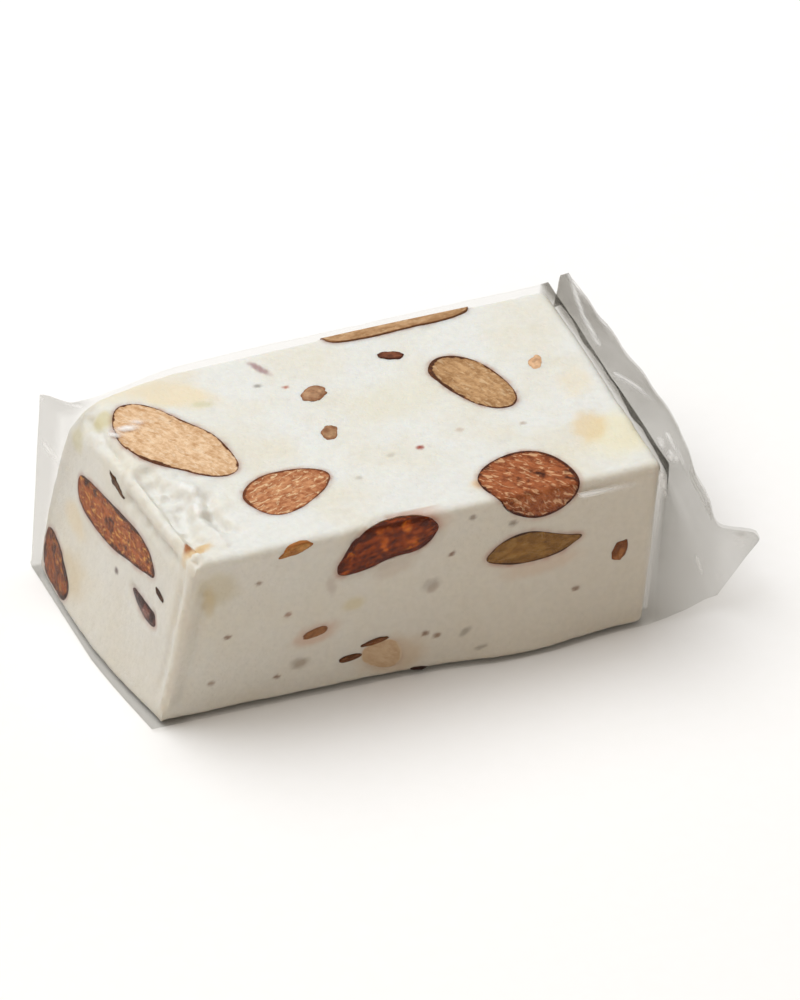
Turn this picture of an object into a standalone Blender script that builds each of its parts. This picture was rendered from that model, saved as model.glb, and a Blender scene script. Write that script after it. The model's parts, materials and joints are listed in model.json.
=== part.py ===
"""A slice of soft white nougat with whole and cut almonds, in its clear film wrapper.

Blender 4.5, metres, +Z up. The slice lies on its widest side with its length along X and its
front along -Y. The numbers below are millimetres in the slice's own frame, whose corner is the
front left bottom one of the squared-up slice. The last step of each object turns them into
metres in the part's frame, whose origin is the middle of the part's underside.
"""

import math

import bmesh
import bpy
from mathutils import Matrix, Vector

MM = 0.001

# The slice, cut by hand: eight corners of the block before its edges are rounded.
# It lies on the film, so its own base is a little above the floor.
LENGTH = 80.0
DEPTH = 50.4
BASE_Z = 0.6
TOP_Z = 31.4
BLOCK_CORNERS = {
    (0, 0, 0): Vector((-4.4, 1.9, BASE_Z)),
    (1, 0, 0): Vector((78.4, -0.2, BASE_Z)),
    (0, 1, 0): Vector((-7.3, 49.2, BASE_Z)),
    (1, 1, 0): Vector((80.6, 50.8, BASE_Z)),
    (0, 0, 1): Vector((0.5, -0.9, TOP_Z)),
    (1, 0, 1): Vector((80.2, -1.2, TOP_Z)),
    (0, 1, 1): Vector((-2.2, 51.5, TOP_Z)),
    (1, 1, 1): Vector((82.7, 52.2, TOP_Z + 0.4)),
}
BLOCK_CUTS = 11
EDGE_RADIUS = 1.2
SOFT_CORNER_RADIUS = 6.5
SOFT_CORNER_REACH = 11.0
WAVE_DEPTH = 0.35
# The foot of the front face swells forward here
SWELL_X = 57.0
SWELL_REACH = 12.0
SWELL_RISE = 9.0
SWELL_DEPTH = 2.0

# The film: wall, and the clearance that it keeps round the slice
FILM_WALL = 0.3
FILM_GAP = 0.6
FILM_CORNERS = {
    (0, 0, 0): Vector((-6.2, 0.7, 0.0)),
    (1, 0, 0): Vector((79.6, -1.3, 0.0)),
    (0, 1, 0): Vector((-8.7, 50.6, 0.0)),
    (1, 1, 0): Vector((81.8, 52.1, 0.0)),
    (0, 0, 1): Vector((-0.6, -2.0, TOP_Z + FILM_GAP + FILM_WALL)),
    (1, 0, 1): Vector((81.3, -2.3, TOP_Z + FILM_GAP + FILM_WALL)),
    (0, 1, 1): Vector((-6.2, 52.6, TOP_Z + FILM_GAP + FILM_WALL)),
    (1, 1, 1): Vector((83.9, 53.5, TOP_Z + 0.4 + FILM_GAP + FILM_WALL)),
}
# Where the film's rings have points, as shares of the way across (0 at the front) and up.
# The outermost spans make the narrow bend over each long edge.
FILM_ACROSS = (0.0, 0.02, 0.12, 0.27, 0.42, 0.58, 0.73, 0.88, 0.98, 1.0)
FILM_UP = (0.0, 0.035, 0.25, 0.5, 0.75, 0.965, 1.0)
FILM_ALONG = (0.0, 0.06, 0.14, 0.26, 0.4, 0.54, 0.68, 0.83, 1.0)
FILM_BEND = 0.3
# The gathered end: steps from the slice to the seam, the seam's ends, rise, width and thickness
TENT_STEPS = 6
SEAM_STEPS = 2
SEAM_BACK = Vector((94.4, 68.0, 22.8))
SEAM_FRONT = Vector((100.2, -0.4, 10.6))
SEAM_RISE = 1.4
SEAM_WIDTH = 5.0
SEAM_BACK_TAPER = 0.7
SEAM_FRONT_WIDTH = 8.4
SEAM_FRONT_DROP = 8.2
SEAM_THICKNESS = 1.3
NOTCH_DEPTH = 4.3
NOTCH_PLACE = 0.87
NOTCH_WIDTH = 0.1

# How much bigger than its almond each pocket is, all round
POCKET_GAP = 0.3
KERNEL_SEGMENTS = 16
KERNEL_RINGS = 9
CRUMB_SEGMENTS = 6
CRUMB_RINGS = 4
CRUMB_PROUD = 0.25
CRUMB_DEPTH = 0.9

# The slice's frame in the part's frame: the part's box is then centred on the origin
FRAME_SHIFT = Vector((-45.466, -32.802, 0.0))

# Each face of the slice: the share that is held on it with its value, and the two axes that a
# place on it is given in. So a place on the top is (x, y), on the front (x, z), on an end (y, z).
FACES = {
    "top": (2, 1.0, 0, 1),
    "bottom": (2, 0.0, 0, 1),
    "front": (1, 0.0, 0, 2),
    "back": (1, 1.0, 0, 2),
    "left": (0, 0.0, 1, 2),
    "right": (0, 1.0, 1, 2),
}
SPANS = (LENGTH, DEPTH, TOP_Z - BASE_Z)

# Almonds: node name, face, place on it, length, width, thickness, turn in degrees, depth
ALMONDS = [
    ("almond_top_big", "top", (10.0, 32.7), 25.4, 11.4, 9.0, -66, 0.6),
    ("almond_top_left", "top", (22.0, 14.1), 15.2, 11.6, 8.0, -1, 0.6),
    ("almond_top_right", "top", (62.5, 32.2), 18.4, 9.4, 8.0, -77, 0.6),
    ("almond_top_edge", "top", (59.0, 4.4), 14.8, 15.4, 8.6, 83, 1.0),
    ("almond_top_back", "top", (56.4, 53.0), 24.0, 8.6, 7.5, 2, 0.8),
    ("almond_front_dark", "front", (32.9, 26.4), 18.4, 8.8, 8.6, 197, 0.8),
    ("almond_front_right", "front", (58.6, 20.6), 16.8, 5.8, 7.4, 6, 0.6),
    ("almond_front_low", "front", (32.6, 5.6), 10.6, 5.6, 6.4, -14, 0.5),
    ("almond_left_long", "left", (27.0, 21.3), 28.8, 6.0, 7.6, -1, 0.6),
    ("almond_left_low", "left", (44.6, 4.9), 14.4, 6.8, 7.6, 11, 0.6),
    ("almond_left_sliver", "left", (14.2, 14.4), 9.6, 3.2, 5.0, 8, 0.4),
    ("almond_back_left", "back", (17.0, 13.5), 22.0, 10.2, 8.4, 20, 0.6),
    ("almond_back_mid", "back", (40.5, 14.5), 19.0, 9.0, 8.0, -35, 0.6),
    ("almond_back_right", "back", (66.5, 10.6), 16.0, 7.6, 7.6, 70, 0.6),
    ("almond_right_high", "right", (16.0, 20.4), 19.6, 8.2, 8.0, 28, 0.6),
    ("almond_right_low", "right", (36.5, 11.0), 15.6, 8.0, 7.6, -48, 0.6),
    ("almond_under_left", "bottom", (19.5, 29.0), 23.0, 11.0, 8.6, 40, 0.6),
    ("almond_under_mid", "bottom", (49.0, 16.0), 18.0, 9.0, 8.0, -20, 0.6),
    ("almond_under_right", "bottom", (64.0, 31.0), 19.0, 9.2, 8.0, 80, 0.6),
]

# Almond crumbs that show as low lumps, one body with the nougat: face, place, length, width, turn
CRUMBS = [
    ("top", (35.6, 37.0), 5.4, 4.0, 32),
    ("top", (33.8, 25.8), 4.6, 3.4, 68),
    ("top", (51.5, 42.9), 4.2, 2.2, -21),
    ("top", (72.8, 32.5), 4.2, 3.2, 67),
    ("front", (16.6, 30.0), 5.4, 2.2, 12),
    ("front", (73.2, 16.8), 4.7, 2.6, 83),
    ("front", (21.4, 12.1), 4.8, 2.4, 23),
    ("front", (40.6, 2.8), 4.2, 2.2, 26),
    ("front", (57.6, 3.4), 2.9, 2.2, 11),
    ("front", (70.8, 2.9), 4.2, 1.9, 22),
    ("left", (33.0, 27.0), 5.6, 2.0, 7),
    ("back", (29.0, 24.5), 4.4, 3.0, 40),
    ("back", (56.0, 19.0), 5.0, 2.8, -15),
    ("back", (74.0, 23.0), 3.6, 2.4, 60),
    ("right", (30.0, 24.0), 4.4, 2.6, 15),
    ("right", (10.0, 7.0), 4.0, 3.0, -30),
]

NOUGAT_LOOK = ("nougat", (0.83, 0.79, 0.71, 1.0), 0.6, 1.0)
CUT_ALMOND_LOOK = ("cut_almond", (0.61, 0.41, 0.24, 1.0), 0.55, 1.0)
SKIN_ALMOND_LOOK = ("almond_skin", (0.22, 0.07, 0.02, 1.0), 0.45, 1.0)
FILM_LOOK = ("clear_film", (0.9, 0.9, 0.9, 1.0), 0.08, 0.2)
SKIN_SIDE_OUT = ("almond_top_edge", "almond_front_dark", "almond_left_sliver", "almond_back_mid")


def clear_scene():
    for old in list(bpy.data.objects):
        bpy.data.objects.remove(old, do_unlink=True)


def collection(name):
    made = bpy.data.collections.new(name)
    bpy.context.scene.collection.children.link(made)
    return made


def material(name, colour, roughness, alpha):
    made = bpy.data.materials.new(name)
    made.use_nodes = True
    shader = made.node_tree.nodes["Principled BSDF"]
    shader.inputs["Base Color"].default_value = colour
    shader.inputs["Roughness"].default_value = roughness
    shader.inputs["Metallic"].default_value = 0.0
    shader.inputs["Alpha"].default_value = alpha
    return made


def mesh_object(name, bm, into, look=None):
    """A named object from a bmesh in slice millimetres, written in metres in the part's frame."""
    for vert in bm.verts:
        vert.co = (vert.co + FRAME_SHIFT) * MM
    mesh = bpy.data.meshes.new(name)
    bm.to_mesh(mesh)
    bm.free()
    made = bpy.data.objects.new(name, mesh)
    into.objects.link(made)
    if look is not None:
        mesh.materials.append(look)
    return made


def shade(made, angle_degrees=35):
    made.data.shade_smooth()
    made.data.set_sharp_from_angle(angle=math.radians(angle_degrees))


def as_guide(made):
    """A cutter or a guide: drawn as wire and left out of the part."""
    made.hide_render = True
    made.display_type = "WIRE"
    return made


def apply_modifiers(made):
    """The object's mesh with its modifiers' result, and no modifiers."""
    depsgraph = bpy.context.evaluated_depsgraph_get()
    result = bpy.data.meshes.new_from_object(made.evaluated_get(depsgraph))
    made.modifiers.clear()
    made.data = result


def blend_corners(corners, u, v, w):
    """The point at shares u, v and w of the way along X, Y and Z between eight corners."""
    point = Vector((0.0, 0.0, 0.0))
    for (i, j, k), corner in corners.items():
        share = (u if i else 1 - u) * (v if j else 1 - v) * (w if k else 1 - w)
        point += corner * share
    return point


def corner_radius(point, half):
    """The rounding at a point of the squared block: soft at the back left top corner."""
    soft = Vector((-half.x, half.y, half.z))
    near = math.exp(-((point - soft).length / SOFT_CORNER_REACH) ** 2)
    return EDGE_RADIUS + (SOFT_CORNER_RADIUS - EDGE_RADIUS) * near


def rounded(point, half):
    """A point of the squared block moved onto its rounded edges."""
    radius = corner_radius(point, half)
    inner = Vector([max(-(h - radius), min(h - radius, p)) for p, h in zip(point, half)])
    out = point - inner
    return inner + out.normalized() * radius if out.length > 0 else point


def hollow_wave(x, y, z):
    """How far, from 0 to 1, the hand-cut surface dips in at a point of the squared block."""
    wave = math.sin(x * 0.11 + 0.7) * math.cos(y * 0.17 + 0.3 * z) + math.sin(z * 0.31 + y * 0.09)
    return 0.5 + 0.25 * wave


def swell(x, z, share_back):
    """How far forward a point of the slice or its film lies because of the swollen foot."""
    beside = math.exp(-((x - SWELL_X) / SWELL_REACH) ** 2)
    return SWELL_DEPTH * beside * math.exp(-(z / SWELL_RISE) ** 2) * (1 - share_back) ** 3


def block_mesh():
    """The slice before its pockets are made: a cube with its grid drawn in towards the edges."""
    bm = bmesh.new()
    bmesh.ops.create_cube(bm, size=2.0)
    bmesh.ops.subdivide_edges(bm, edges=bm.edges[:], cuts=BLOCK_CUTS, use_grid_fill=True)
    half = Vector((LENGTH, DEPTH, TOP_Z - BASE_Z)) / 2
    for vert in bm.verts:
        spread = Vector([math.sin(c * math.pi / 2) * h for c, h in zip(vert.co, half)])
        normal = Vector([round(c) if abs(c) > 0.999 else 0 for c in vert.co])
        point = rounded(spread, half)
        if normal.z >= 0:
            point -= normal.normalized() * WAVE_DEPTH * hollow_wave(*spread)
        share = [(p + h) / (2 * h) for p, h in zip(point, half)]
        vert.co = blend_corners(BLOCK_CORNERS, *share)
        vert.co.y -= swell(vert.co.x, vert.co.z, share[1])
    return bm


def face_point(face, place):
    """The point of a face of the unrounded block at a place given in that face's two axes."""
    held, value, first, second = FACES[face]
    share = [0.5, 0.5, 0.5]
    share[held] = value
    for _ in range(6):
        point = blend_corners(BLOCK_CORNERS, *share)
        share[first] += (place[0] - point[first]) / SPANS[first]
        share[second] += (place[1] - point[second]) / SPANS[second]
    return point


def kernel_matrix(face, place, turn, depth):
    """Where an almond lies: its length along X and its flat sides along Z before it is placed."""
    start = face_point(face, place)
    across = (face_point(face, (place[0] + 1, place[1])) - start).normalized()
    up = (face_point(face, (place[0], place[1] + 1)) - start).normalized()
    out = across.cross(up).normalized()
    middle = blend_corners(BLOCK_CORNERS, 0.5, 0.5, 0.5)
    if out.dot(start - middle) < 0:
        out = -out
    beside = (up - across * up.dot(across)).normalized()
    turned = math.radians(turn)
    length_axis = across * math.cos(turned) + beside * math.sin(turned)
    frame = Matrix((length_axis, out.cross(length_axis), out)).transposed().to_4x4()
    return Matrix.Translation(start - out * depth) @ frame


def kernel_shape(point, length, width, thickness):
    """A point of the unit sphere moved onto an almond: blunt at -X, and pointed at +X."""
    taper = (1 - 0.3 * point.x) * (1 - 0.22 * max(point.x, 0) ** 2)
    belly = 1.06
    return Vector((
        point.x * length / 2,
        point.y * taper * belly * width / 2,
        point.z * taper * belly * thickness / 2,
    ))


def kernel_mesh(length, width, thickness, place, segments=KERNEL_SEGMENTS, rings=KERNEL_RINGS):
    """A whole almond as a mesh, from a sphere whose poles are the almond's two ends."""
    bm = bmesh.new()
    bmesh.ops.create_uvsphere(bm, u_segments=segments, v_segments=rings, radius=1.0)
    for vert in bm.verts:
        on_side = Vector((vert.co.z, vert.co.x, vert.co.y))
        vert.co = place @ kernel_shape(on_side, length, width, thickness)
    return bm


def add_boolean(made, operation, operand=None, group=None):
    cut = made.modifiers.new(operation.lower(), "BOOLEAN")
    cut.operation = operation
    cut.solver = "MANIFOLD" if group is not None else "EXACT"
    if group is not None:
        cut.operand_type = "COLLECTION"
        cut.collection = group
    else:
        cut.object = operand
    return cut


def build_almonds(part, cutters, pockets):
    """Each almond, cut flush with the slice's faces, and a slightly larger one as its pocket."""
    block = as_guide(mesh_object("uncut_block", block_mesh(), cutters))
    looks = {look[0]: material(*look) for look in (CUT_ALMOND_LOOK, SKIN_ALMOND_LOOK)}
    for name, face, place, length, width, thickness, turn, depth in ALMONDS:
        look = looks["almond_skin" if name in SKIN_SIDE_OUT else "cut_almond"]
        matrix = kernel_matrix(face, place, turn, depth)
        kernel = mesh_object(name, kernel_mesh(length, width, thickness, matrix), part, look)
        add_boolean(kernel, "INTERSECT", block)
        shade(kernel)
        more = 2 * POCKET_GAP
        grown = kernel_mesh(length + more, width + more, thickness + more, matrix)
        as_guide(mesh_object(name + "_pocket", grown, pockets))


def build_crumbs(crumbs):
    """Low lumps that stand a little proud of the nougat."""
    for number, (face, place, length, width, turn) in enumerate(CRUMBS):
        sunk = CRUMB_DEPTH - CRUMB_PROUD
        matrix = kernel_matrix(face, place, turn, sunk)
        lump = kernel_mesh(length, width, 2 * CRUMB_DEPTH, matrix, CRUMB_SEGMENTS, CRUMB_RINGS)
        as_guide(mesh_object(f"crumb_{number}", lump, crumbs))


def build_nougat(part, pockets, crumbs):
    nougat = mesh_object("nougat", block_mesh(), part, material(*NOUGAT_LOOK))
    add_boolean(nougat, "DIFFERENCE", group=pockets)
    apply_modifiers(nougat)
    add_boolean(nougat, "UNION", group=crumbs)
    apply_modifiers(nougat)
    for lump in list(crumbs.objects):
        bpy.data.objects.remove(lump, do_unlink=True)
    shade(nougat)
    return nougat


def ring_shares():
    """Round the film's tube, from the middle of the back up, over, down the front and under.
    Each entry is the share across (0 at the front, 1 at the back) and the share up."""
    middle = FILM_UP.index(0.5)
    back_up = [(1.0, up) for up in FILM_UP[middle:-1]]
    over = [(across, 1.0) for across in reversed(FILM_ACROSS[1:])]
    front_down = [(0.0, up) for up in reversed(FILM_UP[1:])]
    under = [(across, 0.0) for across in FILM_ACROSS[:-1]]
    back_rest = [(1.0, up) for up in FILM_UP[:middle]]
    return back_up + over + front_down + under + back_rest


def film_point(along, across, up):
    """A point of the film round the slice. Its long edges are bent and not sharp, and behind
    the ear at its left end it follows the slice's soft corner."""
    point = blend_corners(FILM_CORNERS, along, across, up)
    point.y -= swell(point.x, point.z, across)
    if across in (0.0, 1.0) and up in (0.0, 1.0):
        point.y += FILM_BEND * (1 if across == 0.0 else -1)
        point.z += FILM_BEND * (1 if up == 0.0 else -1)
    if along > 0.0:
        near = math.exp(-((along - FILM_ALONG[1]) * LENGTH / SOFT_CORNER_REACH) ** 2)
        radius = SOFT_CORNER_RADIUS * near
        corner = blend_corners(FILM_CORNERS, along, 1.0, 1.0)
        centre = Vector((point.x, corner.y - radius, corner.z - radius))
        out = point - centre
        if out.y > 0 and out.z > 0 and out.length > radius:
            point = centre + out.normalized() * radius
    return point


def seam_point(along, side, out):
    """A point of the flat seam: along is 0 at its back end and 1 at its front, side is 1 on its
    upper layer and -1 on its lower one, and out is 0 at its root and 1 at its rim."""
    point = SEAM_BACK.lerp(SEAM_FRONT, along)
    point.x = SEAM_BACK.x + (SEAM_FRONT.x - SEAM_BACK.x) * along ** 1.5
    notch = NOTCH_DEPTH * math.exp(-((along - NOTCH_PLACE) / NOTCH_WIDTH) ** 2)
    width = SEAM_WIDTH + (SEAM_FRONT_WIDTH - SEAM_WIDTH) * along ** 3
    width *= 1 - SEAM_BACK_TAPER * math.exp(-along * 12)
    point.x -= notch * out + width * (1 - out)
    point.z += SEAM_RISE * math.sin(math.pi * along) + side * SEAM_THICKNESS / 2
    point.z -= SEAM_FRONT_DROP * along ** 3 * (1 - out)
    return point


def seam_places(ring, front):
    """How far along the seam, and on which of its layers, each point of the film's ring ends.
    The ring starts in the middle of the back, and its point number front, the lower front
    corner, ends at the seam's front. So the film's front side is all in the upper layer."""
    lengths = [(ring[(i + 1) % len(ring)] - ring[i]).length for i in range(len(ring))]
    places = []
    for i in range(len(ring)):
        if i <= front:
            along = sum(lengths[:i]) / sum(lengths[:front])
        else:
            along = 1 - sum(lengths[front:i]) / sum(lengths[front:])
        side = 0 if i in (0, front) else (1 if i < front else -1)
        places.append((along, side))
    return places


def tent_point(start, end, side, gather):
    """A point of the film from the slice's end to the seam, gather of the way out. The upper
    side falls early, and the lower side lies on the floor before it rises."""
    point = start.lerp(end, gather)
    power = 1.7 if side < 0 else 0.85
    point.z = start.z + (end.z - start.z) * gather ** power
    return point


def film_surface():
    """The outside of the film: rings round the slice, gathered to a flat open seam at the right
    and closed by one sheet at the left."""
    bm = bmesh.new()
    shares = ring_shares()
    count = len(shares)
    rings = [[film_point(u, v, w) for v, w in shares] for u in FILM_ALONG]
    last = rings[-1]
    places = seam_places(last, shares.index((0.0, 0.0)))
    for step in range(1, TENT_STEPS + 1):
        gather = step / TENT_STEPS
        ring = []
        for start, (along, side) in zip(last, places):
            ring.append(tent_point(start, seam_point(along, side, 0.0), side, gather))
        rings.append(ring)
    for step in range(1, SEAM_STEPS + 1):
        rings.append([seam_point(along, side, step / SEAM_STEPS) for along, side in places])
    loops = [[bm.verts.new(point) for point in ring] for ring in rings]
    for ring, following in zip(loops, loops[1:]):
        for i in range(count):
            j = (i + 1) % count
            bm.faces.new((ring[i], ring[j], following[j], following[i]))
    rim = {share: vert for share, vert in zip(shares, loops[0])}
    sheet = {}
    for across in FILM_ACROSS:
        for up in FILM_UP:
            on_rim = rim.get((across, up))
            sheet[across, up] = on_rim or bm.verts.new(film_point(0.0, across, up))
    for near, far in zip(FILM_ACROSS, FILM_ACROSS[1:]):
        for low, high in zip(FILM_UP, FILM_UP[1:]):
            corners = ((near, low), (near, high), (far, high), (far, low))
            bm.faces.new([sheet[corner] for corner in corners])
    bmesh.ops.recalc_face_normals(bm, faces=bm.faces)
    return bm


def build_wrapper(part):
    wrapper = mesh_object("wrapper", film_surface(), part, material(*FILM_LOOK))
    wall = wrapper.modifiers.new("film_wall", "SOLIDIFY")
    wall.thickness = FILM_WALL * MM
    wall.offset = -1.0
    wall.use_even_offset = True
    wall.use_rim = True
    shade(wrapper)
    return wrapper


def main():
    clear_scene()
    part = collection("nougat_slice")
    cutters = collection("cutters")
    pockets = collection("pockets")
    crumbs = collection("crumbs")
    build_almonds(part, cutters, pockets)
    build_crumbs(crumbs)
    build_nougat(part, pockets, crumbs)
    build_wrapper(part)


main()
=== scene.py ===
import json
import math

import bpy
import numpy as np
from mathutils import Matrix, Vector, noise

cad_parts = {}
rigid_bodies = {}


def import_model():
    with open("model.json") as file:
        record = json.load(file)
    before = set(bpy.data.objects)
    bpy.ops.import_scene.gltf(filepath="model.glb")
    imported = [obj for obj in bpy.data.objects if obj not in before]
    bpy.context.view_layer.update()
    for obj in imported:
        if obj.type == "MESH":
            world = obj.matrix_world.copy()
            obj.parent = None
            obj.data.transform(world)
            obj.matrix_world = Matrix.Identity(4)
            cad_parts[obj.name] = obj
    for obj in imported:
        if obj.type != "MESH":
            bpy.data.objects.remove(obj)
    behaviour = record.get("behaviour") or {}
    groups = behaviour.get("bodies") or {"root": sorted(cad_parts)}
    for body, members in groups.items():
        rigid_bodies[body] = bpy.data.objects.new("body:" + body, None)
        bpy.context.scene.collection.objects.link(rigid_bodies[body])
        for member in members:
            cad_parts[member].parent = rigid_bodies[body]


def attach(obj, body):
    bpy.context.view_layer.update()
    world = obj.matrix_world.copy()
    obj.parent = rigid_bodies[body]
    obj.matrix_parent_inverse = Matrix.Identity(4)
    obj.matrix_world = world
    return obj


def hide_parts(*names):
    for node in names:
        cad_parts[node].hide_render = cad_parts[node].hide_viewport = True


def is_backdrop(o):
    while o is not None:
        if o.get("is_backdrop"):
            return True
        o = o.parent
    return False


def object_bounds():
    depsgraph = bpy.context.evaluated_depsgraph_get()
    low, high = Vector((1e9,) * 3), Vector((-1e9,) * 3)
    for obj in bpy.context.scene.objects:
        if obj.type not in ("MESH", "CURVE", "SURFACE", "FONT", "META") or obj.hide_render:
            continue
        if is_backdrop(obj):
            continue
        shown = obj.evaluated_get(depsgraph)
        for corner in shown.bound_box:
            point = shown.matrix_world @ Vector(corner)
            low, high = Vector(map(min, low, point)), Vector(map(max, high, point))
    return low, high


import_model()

cad_low, cad_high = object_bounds()
bpy.ops.object.select_all(action="DESELECT")

# ---- The nougat --------------------------------------------------------------------------
# Honey, sugar and egg white whipped to a soft white mass, set as a slab and cut by hand. The
# knife leaves shallow waves, lumps and torn patches, and the slab's outer corner stays round.
# Lengths here are millimetres in the slice's own frame, as in the part's source.

MM = 0.001
FRAME_SHIFT = np.array((-45.466, -32.802, 0.0))
SLICE_SIZE = np.array((80.0, 50.4, 30.8))
SLICE_HALF = SLICE_SIZE / 2
SLICE_CORNERS = {
    (0, 0, 0): (-4.4, 1.9, 0.6),
    (1, 0, 0): (78.4, -0.2, 0.6),
    (0, 1, 0): (-7.3, 49.2, 0.6),
    (1, 1, 0): (80.6, 50.8, 0.6),
    (0, 0, 1): (0.5, -0.9, 31.4),
    (1, 0, 1): (80.2, -1.2, 31.4),
    (0, 1, 1): (-2.2, 51.5, 31.4),
    (1, 1, 1): (82.7, 52.2, 31.8),
}
EDGE_RADIUS = 1.2
ROUND_CORNER_RADIUS = 6.5
ROUND_CORNER_REACH = 11.0
KNIFE_WAVE = 0.35
FOOT_HEIGHT = 9.0
FRONT_FOOT_PLACE = 57.0
FRONT_FOOT_WIDTH = 12.0
FRONT_FOOT_DEEP = 2.0
LEFT_FOOT_DEEP = 1.8
NOUGAT_GRAIN = 0.46
# Nougat fills its film. Its solid leaves room for the film's thick one, and this one doesn't.
FULLER = 0.5

# Each face of the slice: the share held on it with its value, and the two axes of a place on it
FACES = {
    "top": (2, 1.0, 0, 1),
    "bottom": (2, 0.0, 0, 1),
    "front": (1, 0.0, 0, 2),
    "back": (1, 1.0, 0, 2),
    "left": (0, 0.0, 1, 2),
    "right": (0, 1.0, 1, 2),
}


def oval(place, length, width, turn):
    """The outline of a cut almond, with its point forwards."""
    way = np.linspace(0, 2 * math.pi, 24, endpoint=False)
    x = np.cos(way) * length / 2
    y = np.sin(way) * (1 - 0.24 * np.cos(way)) * width / 2
    turned = math.radians(turn)
    return np.stack((place[0] + x * math.cos(turned) - y * math.sin(turned),
                     place[1] + x * math.sin(turned) + y * math.cos(turned)), axis=1)


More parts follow.
